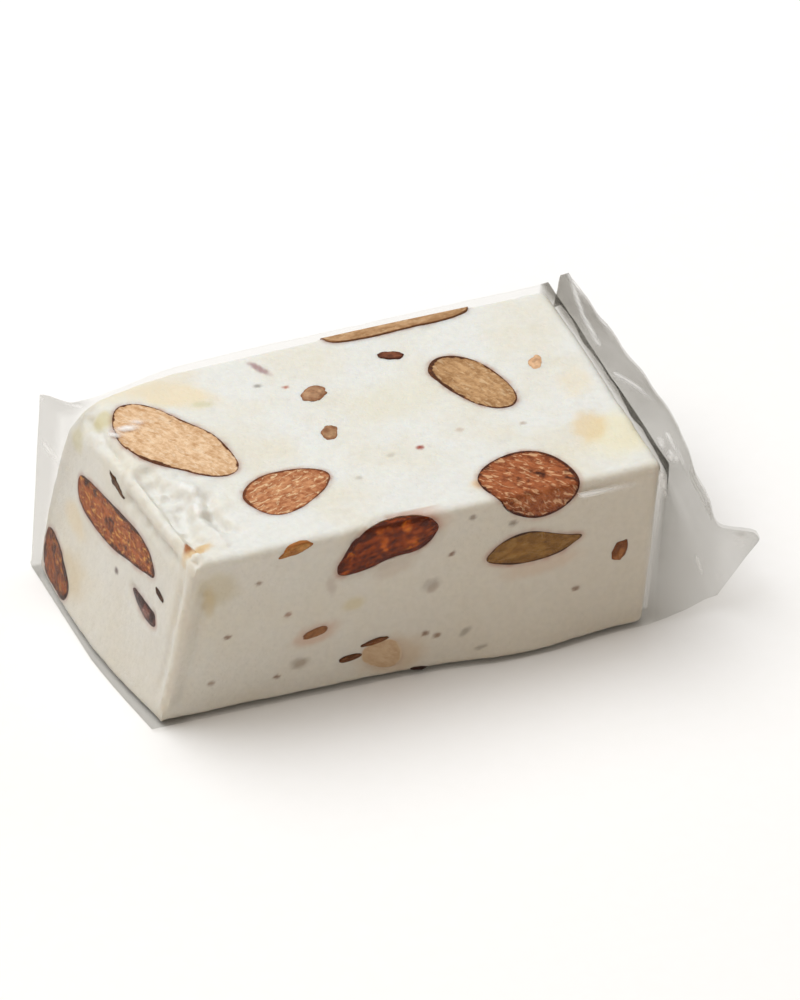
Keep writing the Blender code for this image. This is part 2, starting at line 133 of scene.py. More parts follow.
# Almonds: name, face, outline, finish, how deep it lies, how far it bulges, and where to and by
# how much its skin line is thicker. Outlines are places on a face of the squared block, and past
# that face's edge they go on down the next face.
ALMONDS = [
    ("almond_top_big", "top",
     [(2.4, 36.5), (2.5, 32.6), (3.5, 29.5), (5.0, 27.2), (7.1, 25.1), (9.1, 23.2), (10.9, 21.4),
      (12.8, 20.4), (15.1, 20.2), (16.7, 21.5), (17.2, 23.6), (17.2, 26.4), (17.0, 29.0),
      (16.4, 31.7), (15.1, 34.1), (13.8, 36.4), (12.6, 38.6), (11.4, 41.0), (9.8, 43.0),
      (7.8, 44.1), (5.6, 43.7), (3.7, 40.7)], "pale", 0.0, 0.0, (-0.8, -0.6, 0.4)),
    ("almond_top_left", "top",
     [(14.2, 14.8), (16.4, 17.2), (19.5, 18.5), (22.5, 18.6), (25.7, 18.1), (28.0, 17.0),
      (29.2, 15.2), (27.5, 12.4), (24.3, 10.0), (21.6, 8.5), (18.7, 7.6), (16.3, 8.3),
      (14.6, 10.4), (13.9, 12.8)], "toasted", 0.0, 0.0, (-1.0, 0.2, 0.15)),
    ("almond_top_right", "top",
     [(54.4, 35.8), (56.0, 38.0), (58.3, 38.6), (60.8, 37.4), (62.8, 35.0), (64.1, 31.9),
      (64.9, 28.7), (65.2, 25.7), (64.8, 23.6), (63.3, 22.0), (61.3, 22.1), (59.6, 23.0),
      (58.0, 24.6), (56.8, 26.8), (55.6, 29.4), (54.8, 32.2), (54.3, 34.3)], "tan", 0.0, 0.0,
     (-0.8, 0.6, 0.5)),
    ("almond_top_edge", "top",
     [(50.2, 5.4), (51.9, 8.0), (54.7, 9.6), (58.1, 10.5), (61.1, 10.2), (63.4, 8.8),
      (65.0, 6.4), (65.9, 3.4), (65.9, 0.7), (65.3, -1.6), (64.0, -3.4), (61.5, -4.7),
      (58.5, -4.9), (55.6, -3.8), (53.6, -2.4), (52.0, -0.2), (50.6, 2.4)], "streaked", 0.0, 0.0,
     (1.0, 0.1, 0.3)),
    ("almond_top_back", "top",
     [(42.2, 49.6), (44.0, 48.0), (50.0, 47.5), (56.0, 47.8), (62.0, 47.8), (66.4, 49.0),
      (67.0, 51.0), (63.0, 53.5), (55.0, 55.0), (47.0, 54.0), (43.0, 52.0)], "strip", -0.2, 0.0,
     (0.0, -1.0, 0.0)),
    ("almond_front_dark", "front",
     [(24.9, 23.3), (25.5, 26.6), (26.9, 29.1), (28.9, 30.8), (31.7, 31.8), (34.8, 32.1),
      (37.6, 31.7), (40.0, 30.5), (41.8, 28.5), (41.2, 26.3), (39.8, 24.9), (37.8, 24.1),
      (35.2, 24.1), (32.8, 23.5), (30.5, 22.7), (28.1, 22.3), (26.1, 22.4)], "dark", 0.35, 0.45,
     (-0.6, 0.8, 1.2)),
    ("almond_front_right", "front",
     [(50.7, 19.6), (51.8, 21.4), (53.8, 22.8), (56.2, 23.5), (58.8, 23.4), (62.4, 22.1),
      (65.1, 21.2), (67.6, 20.6), (66.0, 19.4), (64.2, 18.2), (61.7, 17.6), (58.7, 17.4),
      (55.7, 17.6), (52.6, 18.5)], "olive", 0.0, 0.0, (-0.3, 1.0, 0.1)),
    ("almond_front_low", "front",
     [(32.0, 6.1), (33.4, 7.5), (35.5, 7.7), (37.7, 6.7), (39.0, 4.4), (38.8, 2.3), (37.1, 1.5),
      (34.5, 2.3), (32.4, 4.1)], "buried", 0.06, 0.0, (0.0, 0.0, 0.0)),
    ("almond_left_long", "left",
     [(40.4, 22.6), (36.9, 23.4), (31.1, 24.0), (25.6, 24.6), (21.1, 25.0), (17.4, 24.9),
      (14.5, 24.2), (12.4, 22.8), (10.8, 21.0), (13.2, 20.4), (16.3, 19.5), (20.7, 18.6),
      (24.2, 17.7), (27.1, 17.3), (31.0, 17.1), (34.9, 17.2), (38.1, 17.7), (40.2, 18.9),
      (41.0, 21.0)], "amber", 0.0, 0.0, (-0.4, 0.9, 0.5)),
    ("almond_left_low", "left",
     [(48.4, 8.4), (45.9, 8.6), (42.5, 7.6), (39.5, 6.1), (36.6, 4.4), (36.1, 2.6), (37.3, 1.2),
      (40.5, 0.9), (44.0, 0.9), (46.8, 1.1), (48.5, 2.6), (49.1, 5.5)], "chestnut", 0.0, 0.0,
     (-1.0, 0.3, 0.5)),
    ("almond_left_sliver", "left",
     [(17.4, 15.4), (14.5, 15.9), (11.8, 16.0), (9.3, 15.8), (7.7, 14.6), (8.2, 13.5),
      (10.7, 13.2), (13.3, 13.6), (15.6, 14.3)], "plum", 0.25, 0.3, (0.0, 1.0, 0.4)),
    ("almond_back_left", "back", oval((17.0, 13.5), 22.0, 10.2, 20), "pale", 0.0, 0.0,
     (1.0, 0.0, 0.4)),
    ("almond_back_mid", "back", oval((40.5, 14.5), 19.0, 9.0, -35), "dark", 0.35, 0.45,
     (0.0, 1.0, 0.6)),
    ("almond_back_right", "back", oval((66.5, 10.6), 16.0, 7.6, 70), "toasted", 0.0, 0.0,
     (0.0, 1.0, 0.3)),
    ("almond_right_high", "right", oval((16.0, 20.4), 19.6, 8.2, 28), "tan", 0.0, 0.0,
     (1.0, 0.0, 0.3)),
    ("almond_right_low", "right", oval((36.5, 11.0), 15.6, 8.0, -48), "toasted", 0.0, 0.0,
     (0.0, 1.0, 0.2)),
    ("almond_under_left", "bottom", oval((19.5, 29.0), 23.0, 11.0, 40), "pale", 0.0, 0.0,
     (1.0, 0.0, 0.3)),
    ("almond_under_mid", "bottom", oval((49.0, 16.0), 18.0, 9.0, -20), "toasted", 0.0, 0.0,
     (1.0, 0.0, 0.2)),
    ("almond_under_right", "bottom", oval((64.0, 31.0), 19.0, 9.2, 80), "tan", 0.0, 0.0,
     (1.0, 0.0, 0.2)),
]
AROUND = 96
RINGS = 28
KERNEL_DEEP = 3.6
CUT_PROUD = 0.06
POCKET_RINGS = 12
POCKET_DEEP = 4.0
POCKET_GAP = 0.02
CUTTER_HIGH = 1.6

# The cut surface: heights and sizes of its lumps with their octaves and noise starts, its pores,
# and how far in and out it may go
LUMPS = [(0.11, 7.0, 3, 0.0), (0.05, 1.7, 2, 40.0)]
PORES_APART = 2.6
PORE_DEEP = 0.14
DEEPEST = -1.7
HIGHEST = 0.5

# Where the knife tore the corner: its middle and reach along X and Y, then the ridges and dips
# of its edges as points along each, height and width
TORN_MIDDLE = (4.5, 15.5)
TORN_REACH = (5.5, 9.5)
TEARS = [
    ([(-0.6, 27.0, 31.5), (-0.2, 18.0, 31.5), (0.4, 7.0, 31.4)], 0.6, 1.1),
    ([(0.6, 25.0, 31.8), (1.0, 16.0, 31.8), (1.8, 8.0, 31.8), (2.2, 3.0, 31.6)], -0.9, 0.8),
    ([(2.6, 26.0, 31.8), (3.0, 19.0, 31.8), (3.6, 12.0, 31.8)], -1.2, 1.5),
    ([(6.8, 18.6, 31.7), (5.4, 12.0, 31.8), (6.6, 3.0, 31.7)], 0.6, 0.8),
    ([(9.4, 17.0, 31.8), (8.0, 12.0, 31.8), (8.6, 8.0, 31.8)], -1.0, 0.9),
    ([(8.8, 13.2, 31.5), (5.2, 11.6, 31.8)], 0.5, 0.7),
    ([(2.6, 10.5, 31.7), (3.6, 5.4, 31.6)], -1.0, 1.1),
    ([(6.6, 9.4, 31.7), (9.8, 6.0, 31.6)], -0.8, 0.9),
    ([(-1.6, 24.0, 28.6), (-1.4, 13.0, 28.2), (-0.8, 6.0, 28.4)], -0.9, 1.0),
    ([(-1.0, 44.0, 31.0), (-0.4, 36.0, 31.4), (-0.2, 29.0, 31.4)], -0.7, 0.9),
    ([(1.2, 1.4, 31.4), (-0.1, 0.2, 28.7), (-1.1, -0.1, 21.9), (-1.8, 0.2, 15.7),
      (-2.8, 0.9, 9.6), (-3.8, 1.7, 3.5)], 0.8, 0.75),
    ([(2.2, -0.9, 27.0), (1.4, -0.7, 18.0), (0.2, 0.0, 10.0), (-1.2, 0.8, 4.0)], -0.6, 0.8),
    ([(-1.0, 2.4, 26.0), (-2.2, 2.6, 14.0), (-3.4, 3.6, 6.0)], -0.5, 0.8),
]

# Colour in the nougat, and one painted shadow under the dark front almond: face, place, length,
# width, turn, colour, strength
STAINS = [
    ("top", (77.0, 9.0), 15.0, 11.0, 60, "#ebe2bc", 0.55),
    ("top", (73.6, 12.6), 9.6, 6.2, 66, "#e2c998", 0.6),
    ("top", (76.5, 25.0), 9.0, 6.0, 60, "#e9dcc0", 0.5),
    ("top", (14.0, 45.0), 15.0, 8.0, -30, "#e9dcc0", 0.8),
    ("top", (47.0, 31.0), 16.0, 12.0, 20, "#e2dfce", 0.5),
    ("top", (6.0, 49.0), 12.0, 8.0, 0, "#e6dcc2", 0.5),
    ("top", (14.0, 50.0), 14.0, 9.0, 0, "#e4dac4", 0.5),
    ("top", (17.5, 40.5), 4.0, 2.0, -20, "#cfcdae", 0.6),
    ("top", (1.2, 42.4), 5.4, 4.0, 80, "#c9bd86", 0.6),
    ("left", (44.0, 27.5), 5.0, 4.0, 20, "#c5bd92", 0.5),
    ("top", (2.2, 3.4), 5.6, 3.0, 10, "#d7b47c", 0.7),
    ("top", (1.2, 4.6), 3.0, 1.5, 60, "#9c5a20", 0.9),
    ("front", (4.0, 26.0), 7.0, 8.0, 60, "#c2b491", 0.5),
    ("front", (2.8, 23.5), 2.6, 6.0, 0, "#bfa878", 0.5),
    ("top", (27.8, 42.3), 1.6, 1.2, 0, "#8f8b86", 0.7),
    ("top", (31.9, 40.4), 1.3, 1.0, 0, "#b0604a", 0.8),
    ("top", (45.7, 16.6), 1.5, 1.3, 0, "#9c3d2a", 0.9),
    ("top", (53.5, 18.9), 1.6, 1.2, 0, "#c9b6a4", 0.7),
    ("top", (30.0, 47.0), 6.0, 1.5, -68, "#9a6f72", 0.7),
    ("top", (63.9, 17.1), 1.4, 1.0, 0, "#b8a89a", 0.7),
    ("top", (33.3, 12.3), 1.6, 1.1, 0, "#c2bdb2", 0.7),
    ("top", (40.6, 16.3), 2.0, 1.2, 20, "#c2bdb2", 0.6),
    ("top", (51.2, 4.0), 4.0, 3.0, 0, "#dfb47a", 0.6),
    ("front", (6.2, 15.7), 1.5, 1.0, 0, "#7c5b46", 0.8),
    ("front", (16.3, 17.7), 1.5, 1.1, 0, "#96705a", 0.8),
    ("front", (3.8, 6.6), 1.5, 1.1, 0, "#8d7059", 0.7),
    ("front", (18.9, 6.9), 2.4, 1.8, 20, "#a58a72", 0.6),
    ("front", (15.0, 5.2), 1.4, 1.0, 0, "#7a5b47", 0.8),
    ("front", (42.3, 6.9), 1.5, 1.1, 0, "#8a6c54", 0.8),
    ("front", (44.1, 23.0), 1.5, 1.0, 30, "#7d5a44", 0.8),
    ("front", (11.1, 25.4), 1.4, 1.0, 0, "#8a6e58", 0.7),
    ("front", (66.1, 10.6), 1.6, 1.1, 0, "#7f6450", 0.8),
    ("front", (41.1, 17.0), 2.6, 2.0, 40, "#9b7f6a", 0.5),
    ("front", (27.6, 17.0), 4.0, 2.8, 10, "#c9b98a", 0.5),
    ("front", (59.5, 17.0), 15.0, 4.4, 4, "#c9a484", 0.4),
    ("front", (37.5, 30.0), 12.0, 5.0, 0, "#bf9078", 0.55),
    # Painted shadow under the dark almond on the front
    ("front", (34.0, 22.6), 8.0, 3.4, 14, "#b59a86", 0.35),
    ("front", (23.6, 21.6), 1.8, 4.4, 10, "#a0877a", 0.4),
    ("front", (35.0, 4.6), 12.0, 8.0, 0, "#c2a684", 0.55),
    ("front", (21.3, 12.4), 8.4, 4.4, 17, "#c49a80", 0.55),
    ("front", (18.7, 7.0), 3.6, 2.6, 0, "#a59a8c", 0.6),
    ("front", (40.7, 17.7), 3.6, 2.8, 0, "#a1968a", 0.5),
    ("front", (47.1, 6.7), 2.4, 1.2, 40, "#8d8172", 0.6),
    ("front", (49.6, 3.4), 2.6, 0.9, 10, "#8d8172", 0.6),
    ("front", (40.3, 7.7), 1.6, 1.2, 0, "#75543a", 0.75),
    ("front", (47.5, 29.3), 1.5, 1.2, 0, "#8a7868", 0.7),
    ("front", (54.5, 26.4), 1.8, 1.2, 0, "#7a6a5a", 0.7),
    ("left", (38.0, 6.0), 14.0, 8.0, -10, "#cbb58c", 0.5),
    ("left", (23.5, 15.5), 1.6, 1.2, 0, "#5f4a46", 0.8),
    ("left", (40.0, 15.0), 9.0, 5.0, 10, "#ddc9a4", 0.5),
]


def blend_corners(corners, share):
    """Points at shares along X, Y and Z between eight corners."""
    total = np.zeros((len(share), 3))
    for (i, j, k), corner in corners.items():
        weight = np.ones(len(share))
        for axis, high in enumerate((i, j, k)):
            weight = weight * (share[:, axis] if high else 1 - share[:, axis])
        total += weight[:, None] * np.array(corner)
    return total


def swell(x, z, share_back):
    """How far forward the slice and its film lie because of the slice's swollen front foot."""
    beside = np.exp(-((x - FRONT_FOOT_PLACE) / FRONT_FOOT_WIDTH) ** 2)
    return FRONT_FOOT_DEEP * beside * np.exp(-(z / FOOT_HEIGHT) ** 2) * (1 - share_back) ** 3


def left_foot(z, along, across):
    """How much of the swelling of the slice's left foot, and of the film round it, a point has."""
    return (np.exp(-(z / FOOT_HEIGHT) ** 2) * np.clip(1 - along * 6, 0, 1)
            * np.sin(math.pi * np.clip(across, 0, 1)))


def cut_slice(points, proud=0.0):
    """Points of a squared block, millimetres from its middle, moved onto the hand-cut slice.
    It gives them with the directions in which its surface faces."""
    from_round = np.linalg.norm(points - SLICE_HALF * (-1, 1, 1), axis=1)
    soft = np.exp(-(from_round / ROUND_CORNER_REACH) ** 2)
    radius = EDGE_RADIUS + (ROUND_CORNER_RADIUS - EDGE_RADIUS) * soft
    room = SLICE_HALF - radius[:, None]
    inner = np.clip(points, -room, room)
    out = points - inner
    facing = out / np.maximum(np.linalg.norm(out, axis=1), 1e-9)[:, None]
    x, y, z = points.T
    wave = np.sin(x * 0.11 + 0.7) * np.cos(y * 0.17 + 0.3 * z) + np.sin(z * 0.31 + y * 0.09)
    dip = KNIFE_WAVE * (0.5 + 0.25 * wave) * np.clip(1 + 2 * facing[:, 2], 0, 1)
    proud = proud * (1 - 0.4 * np.clip(-facing[:, 2], 0, 1))
    share = (inner + facing * (radius + proud - dip)[:, None] + SLICE_HALF) / SLICE_SIZE
    placed = blend_corners(SLICE_CORNERS, share)
    placed[:, 1] -= swell(placed[:, 0], placed[:, 2], share[:, 1])
    placed[:, 0] -= LEFT_FOOT_DEEP * left_foot(placed[:, 2], share[:, 0], share[:, 1])
    return placed, facing


def face_point(face, place):
    """The point of a face of the squared slice at a place given in that face's two axes."""
    held, value, first, second = FACES[face]
    share = np.full((1, 3), 0.5)
    share[0, held] = value
    for _ in range(6):
        point = blend_corners(SLICE_CORNERS, share)[0]
        share[0, first] += (place[0] - point[first]) / SLICE_SIZE[first]
        share[0, second] += (place[1] - point[second]) / SLICE_SIZE[second]
    return Vector(point)


def place_on(face, place, turn, depth):
    """Where something lies in a face: its length along X and its outer side along +Z."""
    start = face_point(face, place)
    across = (face_point(face, (place[0] + 1, place[1])) - start).normalized()
    up = (face_point(face, (place[0], place[1] + 1)) - start).normalized()
    out = across.cross(up).normalized()
    middle = Vector(blend_corners(SLICE_CORNERS, np.full((1, 3), 0.5))[0])
    if out.dot(start - middle) < 0:
        out = -out
    beside = (up - across * up.dot(across)).normalized()
    turned = math.radians(turn)
    length_axis = across * math.cos(turned) + beside * math.sin(turned)
    turn_matrix = Matrix((length_axis, out.cross(length_axis), out)).transposed()
    return turn_matrix, start - out * depth


def on_oval(points, turn_matrix, middle, length, width, reach=3.0):
    """How far points lie from an oval's middle: 1 is on its rim. Those behind it are far."""
    local = (points - np.array(middle)) @ np.array(turn_matrix)
    far = np.hypot(local[:, 0] / (length / 2), local[:, 1] / (width / 2))
    return np.where(np.abs(local[:, 2]) < reach, far, 99.0)


def points_of(made):
    """A mesh's points, in its own units."""
    flat = np.zeros(len(made.data.vertices) * 3)
    made.data.vertices.foreach_get("co", flat)
    return flat.reshape(-1, 3)


def normals_of(made):
    flat = np.zeros(len(made.data.vertices) * 3, np.float32)
    made.data.vertex_normals.foreach_get("vector", flat)
    return flat.reshape(-1, 3).astype(float)


def put_points(made, slice_points):
    """Puts a mesh's points at places in the slice's frame."""
    placed = (slice_points + FRAME_SHIFT) * MM
    made.data.vertices.foreach_set("co", placed.astype(np.float32).ravel())
    made.data.update()


def slice_points_of(made):
    return points_of(made) / MM - FRAME_SHIFT


def take(made):
    """Selects one object alone."""
    bpy.ops.object.select_all(action="DESELECT")
    made.select_set(True)
    bpy.context.view_layer.objects.active = made
    return made


def finish_with(made, kind, **settings):
    """Adds a modifier with its settings and applies it."""
    take(made)
    step = made.modifiers.new(kind.lower(), kind)
    for name, value in settings.items():
        setattr(step, name, value)
    bpy.ops.object.modifier_apply(modifier=step.name)


def uneven(points, size, octaves=3, start=0.0):
    """Noise from about -1 to 1 at points, with lumps that many millimetres across."""
    offset = Vector((start, start * 0.7, start * 1.3))
    return np.array([noise.fractal(Vector(p) / size + offset, 1.0, 2.0, octaves) for p in points])


def cells(points, size):
    """How far points lie from the nearest of scattered centres, which are that far apart."""
    return np.array([noise.voronoi(Vector(p) / size)[0][0] for p in points])


def from_line(points, route):
    """How far points lie from a line through a few points."""
    nearest = np.full(len(points), 99.0)
    for start, end in zip(route, route[1:]):
        start, end = np.array(start), np.array(end)
        step = end - start
        share = np.clip((points - start) @ step / (step @ step), 0, 1)
        gap = np.linalg.norm(points - start - share[:, None] * step, axis=1)
        nearest = np.minimum(nearest, gap)
    return nearest


def on_block(face, places):
    """Points of the squared block, from its middle, at places on a face or past its edge."""
    held, value, first, second = FACES[face]
    points = np.empty((len(places), 3))
    inside = np.clip(places[:, 1], 0, SLICE_SIZE[second])
    over = np.abs(places[:, 1] - inside)
    points[:, first] = places[:, 0]
    points[:, second] = inside
    points[:, held] = over if value == 0 else SLICE_SIZE[held] - over
    return points - SLICE_HALF


def closed_outline(outline, grown=0.0):
    """A smooth closed line through an outline's few places, from its middle. It gives the
    middle, the line and the two directions along and across it."""
    places = np.array(outline)
    before, after, later = np.roll(places, 1, 0), np.roll(places, -1, 0), np.roll(places, -2, 0)
    line = []
    for share in np.linspace(0, 1, 12, endpoint=False):
        line.append(0.5 * (2 * places + (after - before) * share
                           + (2 * before - 5 * places + 4 * after - later) * share ** 2
                           + (3 * places - before - 3 * after + later) * share ** 3))
    line = np.stack(line, axis=1).reshape(-1, 2)
    line = np.vstack((line, line[:1]))
    so_far = np.concatenate(([0.0], np.cumsum(np.linalg.norm(np.diff(line, axis=0), axis=1))))
    steps = np.linspace(0, so_far[-1], AROUND, endpoint=False)
    line = np.stack([np.interp(steps, so_far, line[:, axis]) for axis in (0, 1)], axis=1)
    for _ in range(4):
        line = (np.roll(line, 1, axis=0) + 2 * line + np.roll(line, -1, axis=0)) / 4
    _, _, axes = np.linalg.svd(line - line.mean(axis=0), full_matrices=False)
    local = line @ axes.T
    middle = (local.min(axis=0) + local.max(axis=0)) / 2 @ axes
    rim = line - middle
    rim *= (1 + grown / np.linalg.norm(rim, axis=1))[:, None]
    return middle, rim, axes


def near_rim(points, face, outline):
    """Which points lie near an almond's rim in the slice's face, and how far from it they are."""
    middle, rim, _ = closed_outline(outline)
    route = cut_slice(on_block(face, middle + rim), FULLER)[0]
    close = np.all((points > route.min(axis=0) - 2) & (points < route.max(axis=0) + 2), axis=1)
    at = np.nonzero(close)[0]
    return at, from_line(points[at], np.vstack((route, route[:1])))


def kernel_solid(name, face, outline, below, bulge, deep, rings, grown=0.0, above=0.0):
    """An almond in a face: its shown side follows the face within the outline, and a bowl lies
    behind it. A cutter stands above the face. It also gives each point's ring and place."""
    bpy.ops.mesh.primitive_uv_sphere_add(segments=AROUND, ring_count=2 * rings, radius=1.0)
    solid = bpy.context.active_object
    solid.name = solid.data.name = name
    x, y, z = points_of(solid).T
    middle, rim, _ = closed_outline(outline, grown)
    step = np.rint((np.arctan2(y, x) + math.pi) / (2 * math.pi) * AROUND).astype(int) % AROUND
    ring = np.rint(np.arccos(np.clip(z, -1, 1)) / math.pi * 2 * rings) / rings
    shown = ring <= 1.0
    share = np.where(shown, 1 - (1 - np.minimum(ring, 1)) ** 1.8, np.sin((2 - ring) * math.pi / 2))
    from_middle = rim[step] * share[:, None]
    rest = FULLER + CUT_PROUD - below
    proud = rest + np.where(shown, bulge * (1 - share ** 2) + above, 0.0)
    block = on_block(face, middle + from_middle)
    points = cut_slice(block, proud)[0]
    room = SLICE_HALF - deep
    core = blend_corners(SLICE_CORNERS, (np.clip(block, -room, room) + SLICE_HALF) / SLICE_SIZE)
    bowl = np.where(shown, 0.0, np.sqrt(1 - share ** 2))[:, None]
    put_points(solid, points + (core - points) * bowl)
    take(solid)
    bpy.ops.object.mode_set(mode="EDIT")
    bpy.ops.mesh.select_all(action="SELECT")
    bpy.ops.mesh.normals_make_consistent(inside=False)
    bpy.ops.object.mode_set(mode="OBJECT")
    return solid, shown, from_middle


bpy.ops.mesh.primitive_cube_add(size=1.0)
nougat = bpy.context.active_object
nougat.name = nougat.data.name = "nougat_slab"
nougat.scale = SLICE_SIZE * MM
bpy.ops.object.transform_apply(scale=True)
finish_with(nougat, "REMESH", mode="VOXEL", voxel_size=NOUGAT_GRAIN * MM)
block_points = points_of(nougat) / MM
surface, facing = cut_slice(block_points, FULLER)

# Lumps and pores all over, and a torn, crumbly patch between the two almonds at the left
shown_top = np.clip(facing[:, 2] * 3 - 1.5, 0, 1)
relief = sum(high * uneven(surface, size, octaves, start) for high, size, octaves, start in LUMPS)
from_torn = (surface[:, :2] - TORN_MIDDLE) / TORN_REACH
torn = np.exp(-from_torn[:, 0] ** 2 - from_torn[:, 1] ** 2) * shown_top
at = np.nonzero(torn > 0.03)[0]
crumbly = 0.4 - 1.3 * cells(surface[at] * (1.0, 0.7, 1.0), 3.8) + 0.6 * uneven(surface[at], 2.4)
relief[at] += 1.4 * torn[at] * crumbly
for route, high, wide in TEARS:
    gap = from_line(surface, route)
    relief += high * np.exp(-(gap / wide) ** 2) * (1 + 0.7 * uneven(surface, 1.8, 2, 33.0))
pore = cells(surface + 7.0, PORES_APART)
relief -= PORE_DEEP * np.clip(1 - pore / 0.24, 0, 1)
left_edge = np.exp(-((facing[:, 0] + 0.7) ** 2 + (facing[:, 1] + 0.7) ** 2) / 0.08)
relief += left_edge * (0.3 + 0.5 * uneven(surface, 2.6, 3, 9.0))
top_left_edge = np.exp(-((facing[:, 0] + 0.7) ** 2 + (facing[:, 2] - 0.7) ** 2) / 0.1)
relief += top_left_edge * (0.8 * uneven(surface, 3.0, 3, 19.0) - 0.15)
for name, face, outline, _, _, bulge, _ in ALMONDS:
    at, gap = near_rim(surface, face, outline)
    relief[at] *= np.clip(gap / 1.4, 0.2, 1.0)
    lip = 0.07 if bulge == 0 else -0.3
    ragged = 0.7 + uneven(surface[at], 2.2, 2, 3.0)
    relief[at] += lip * np.exp(-((gap - 0.35) / 0.7) ** 2) * ragged
relief = np.clip(relief, DEEPEST, HIGHEST)
put_points(nougat, surface + facing * relief[:, None])

pockets = bpy.data.collections.new("pockets")
bpy.context.scene.collection.children.link(pockets)
for name, face, outline, _, below, _, _ in ALMONDS:
    pocket = kernel_solid(name + "_pocket", face, outline, below, 0.0, POCKET_DEEP,
                          POCKET_RINGS, POCKET_GAP, CUTTER_HIGH)[0]
    for home in pocket.users_collection:
        home.objects.unlink(pocket)
    pockets.objects.link(pocket)
finish_with(nougat, "BOOLEAN", operation="DIFFERENCE", operand_type="COLLECTION",
            collection=pockets, solver="MANIFOLD")
for pocket in list(pockets.objects):
    bpy.data.objects.remove(pocket, do_unlink=True)
bpy.data.collections.remove(pockets)


def linear(code):
    """A colour written as sRGB hex, as linear red, green, blue and 1."""
    parts = [int(code[i:i + 2], 16) / 255 for i in (1, 3, 5)]
    parts = [c / 12.92 if c <= 0.04045 else ((c + 0.055) / 1.055) ** 2.4 for c in parts]
    return (*parts, 1.0)


def add(tree, kind, inputs=None, **settings):
    """Adds a node. Settings are its own choices; inputs are values or other nodes' outputs."""
    made = tree.nodes.new("ShaderNode" + kind)
    for name, value in settings.items():
        setattr(made, name, value)
    for name, value in (inputs or {}).items():
        if isinstance(value, bpy.types.NodeSocket):
            tree.links.new(value, made.inputs[name])
        else:
            made.inputs[name].default_value = value
    return made


def new_finish(name):
    """A material with an empty node tree, and the tree."""
    finish = bpy.data.materials.new(name)
    finish.use_nodes = True
    finish.node_tree.nodes.clear()
    return finish, finish.node_tree


def paint(made, name, colours):
    """Writes one colour, with its strength as alpha, at each of a mesh's points."""
    layer = made.data.color_attributes.new(name, "FLOAT_COLOR", "POINT")
    layer.data.foreach_set("color", colours.astype(np.float32).ravel())


def lay_over(stain, at, colour, share):
    """Lays a colour over what the points have, at each with its own strength."""
    old = stain[at]
    new_alpha = share + old[:, 3] * (1 - share)
    mix = (share / np.maximum(new_alpha, 1e-6))[:, None]
    old[:, :3] = old[:, :3] * (1 - mix) + np.array(linear(colour)[:3]) * mix
    old[:, 3] = new_alpha
    stain[at] = old


surface = slice_points_of(nougat)
stain = np.zeros((len(surface), 4))
stain[:, :3] = linear("#e9dfcb")[:3]
for face, place, length, width, turn, colour, strength in STAINS:
    turn_matrix, middle = place_on(face, place, turn, -FULLER)
    far = on_oval(surface, turn_matrix, middle, length, width)
    near = np.nonzero(far < 1.6)[0]
    if len(near) == 0:
        continue
    ragged = far[near] + 0.18 * uneven(surface[near], max(0.8, 0.3 * width), 2, 20.0)
    share = strength * np.clip((1.3 - ragged) / 0.7, 0, 1)
    lay_over(stain, near, colour, share * share * (3 - 2 * share))
# The almonds' skins colour the nougat that touches them, unevenly and for half a millimetre
for name, face, outline, finish_name, _, _, _ in ALMONDS:
    at, gap = near_rim(surface, face, outline)
    share = np.clip(0.42 + 0.5 * uneven(surface[at], 2.0, 2, 50.0), 0.05, 0.8)
    share *= np.exp(-(gap / 0.55) ** 2) * (0.3 if finish_name == "buried" else 1.0)
    lay_over(stain, at, "#a86a4c", share)
paint(nougat, "stain", stain)
# Painted shade: the front, left, right and under sides get a darker, warmer colour than the top,
# the front more so towards the right
ways = normals_of(nougat)
far_right = np.clip(surface[:, 0] / 80, 0, 1)
painted_side_shade = ((0.55 + 0.45 * far_right) * np.clip(-ways[:, 1], 0, 1) + 0.5 * np.clip(-ways[:, 0], 0, 1)
          + 0.4 * np.clip(ways[:, 0], 0, 1) + 0.4 * np.clip(-ways[:, 2], 0, 1))
layer = nougat.data.attributes.new("painted_side_shade", "FLOAT", "POINT")
layer.data.foreach_set("value", np.clip(painted_side_shade, 0, 1).astype(np.float32))

# Whipped nougat: matt and faintly waxy, white going to cream in clouds, full of air bubbles
# from 0.3 to 1 mm, and light goes a few millimetres into it. Its sides carry painted shade.
whipped_nougat, tree = new_finish("whipped_white_nougat")
where = add(tree, "TexCoord").outputs["Object"]
clouds = add(tree, "TexNoise", {"Vector": where, "Scale": 1 / (14 * MM), "Detail": 3.0})
cream = add(tree, "MapRange", {"Value": clouds.outputs["Fac"], "From Min": 0.42, "From Max": 0.68})
base = add(tree, "Mix", {0: cream.outputs[0], 6: linear("#e7e8e4"), 7: linear("#e4e0d2")},
           data_type="RGBA")
# Mixes in the painted shade of the sides
shades = add(tree, "Attribute", attribute_name="painted_side_shade")
base = add(tree, "Mix", {0: shades.outputs["Fac"], 6: base.outputs[2], 7: linear("#d0c7b8")},
           data_type="RGBA")
specks = add(tree, "TexNoise", {"Vector": where, "Scale": 1 / (0.9 * MM), "Detail": 2.0})
speck = add(tree, "MapRange", {"Value": specks.outputs["Fac"], "From Min": 0.35, "From Max": 0.62,
                               "To Min": 0.955, "To Max": 1.0})
toned = add(tree, "Mix", {0: 1.0, 6: base.outputs[2], 7: speck.outputs[0]}, data_type="RGBA",
            blend_type="MULTIPLY")
stains = add(tree, "Attribute", attribute_name="stain")
stained = add(tree, "Mix", {0: stains.outputs["Alpha"], 6: toned.outputs[2],
                            7: stains.outputs["Color"]}, data_type="RGBA")
bubbles = add(tree, "TexVoronoi", {"Vector": where, "Scale": 1 / (0.85 * MM)})
hollow = add(tree, "MapRange", {"Value": bubbles.outputs["Distance"], "From Min": 0.0,
                                "From Max": 0.45})
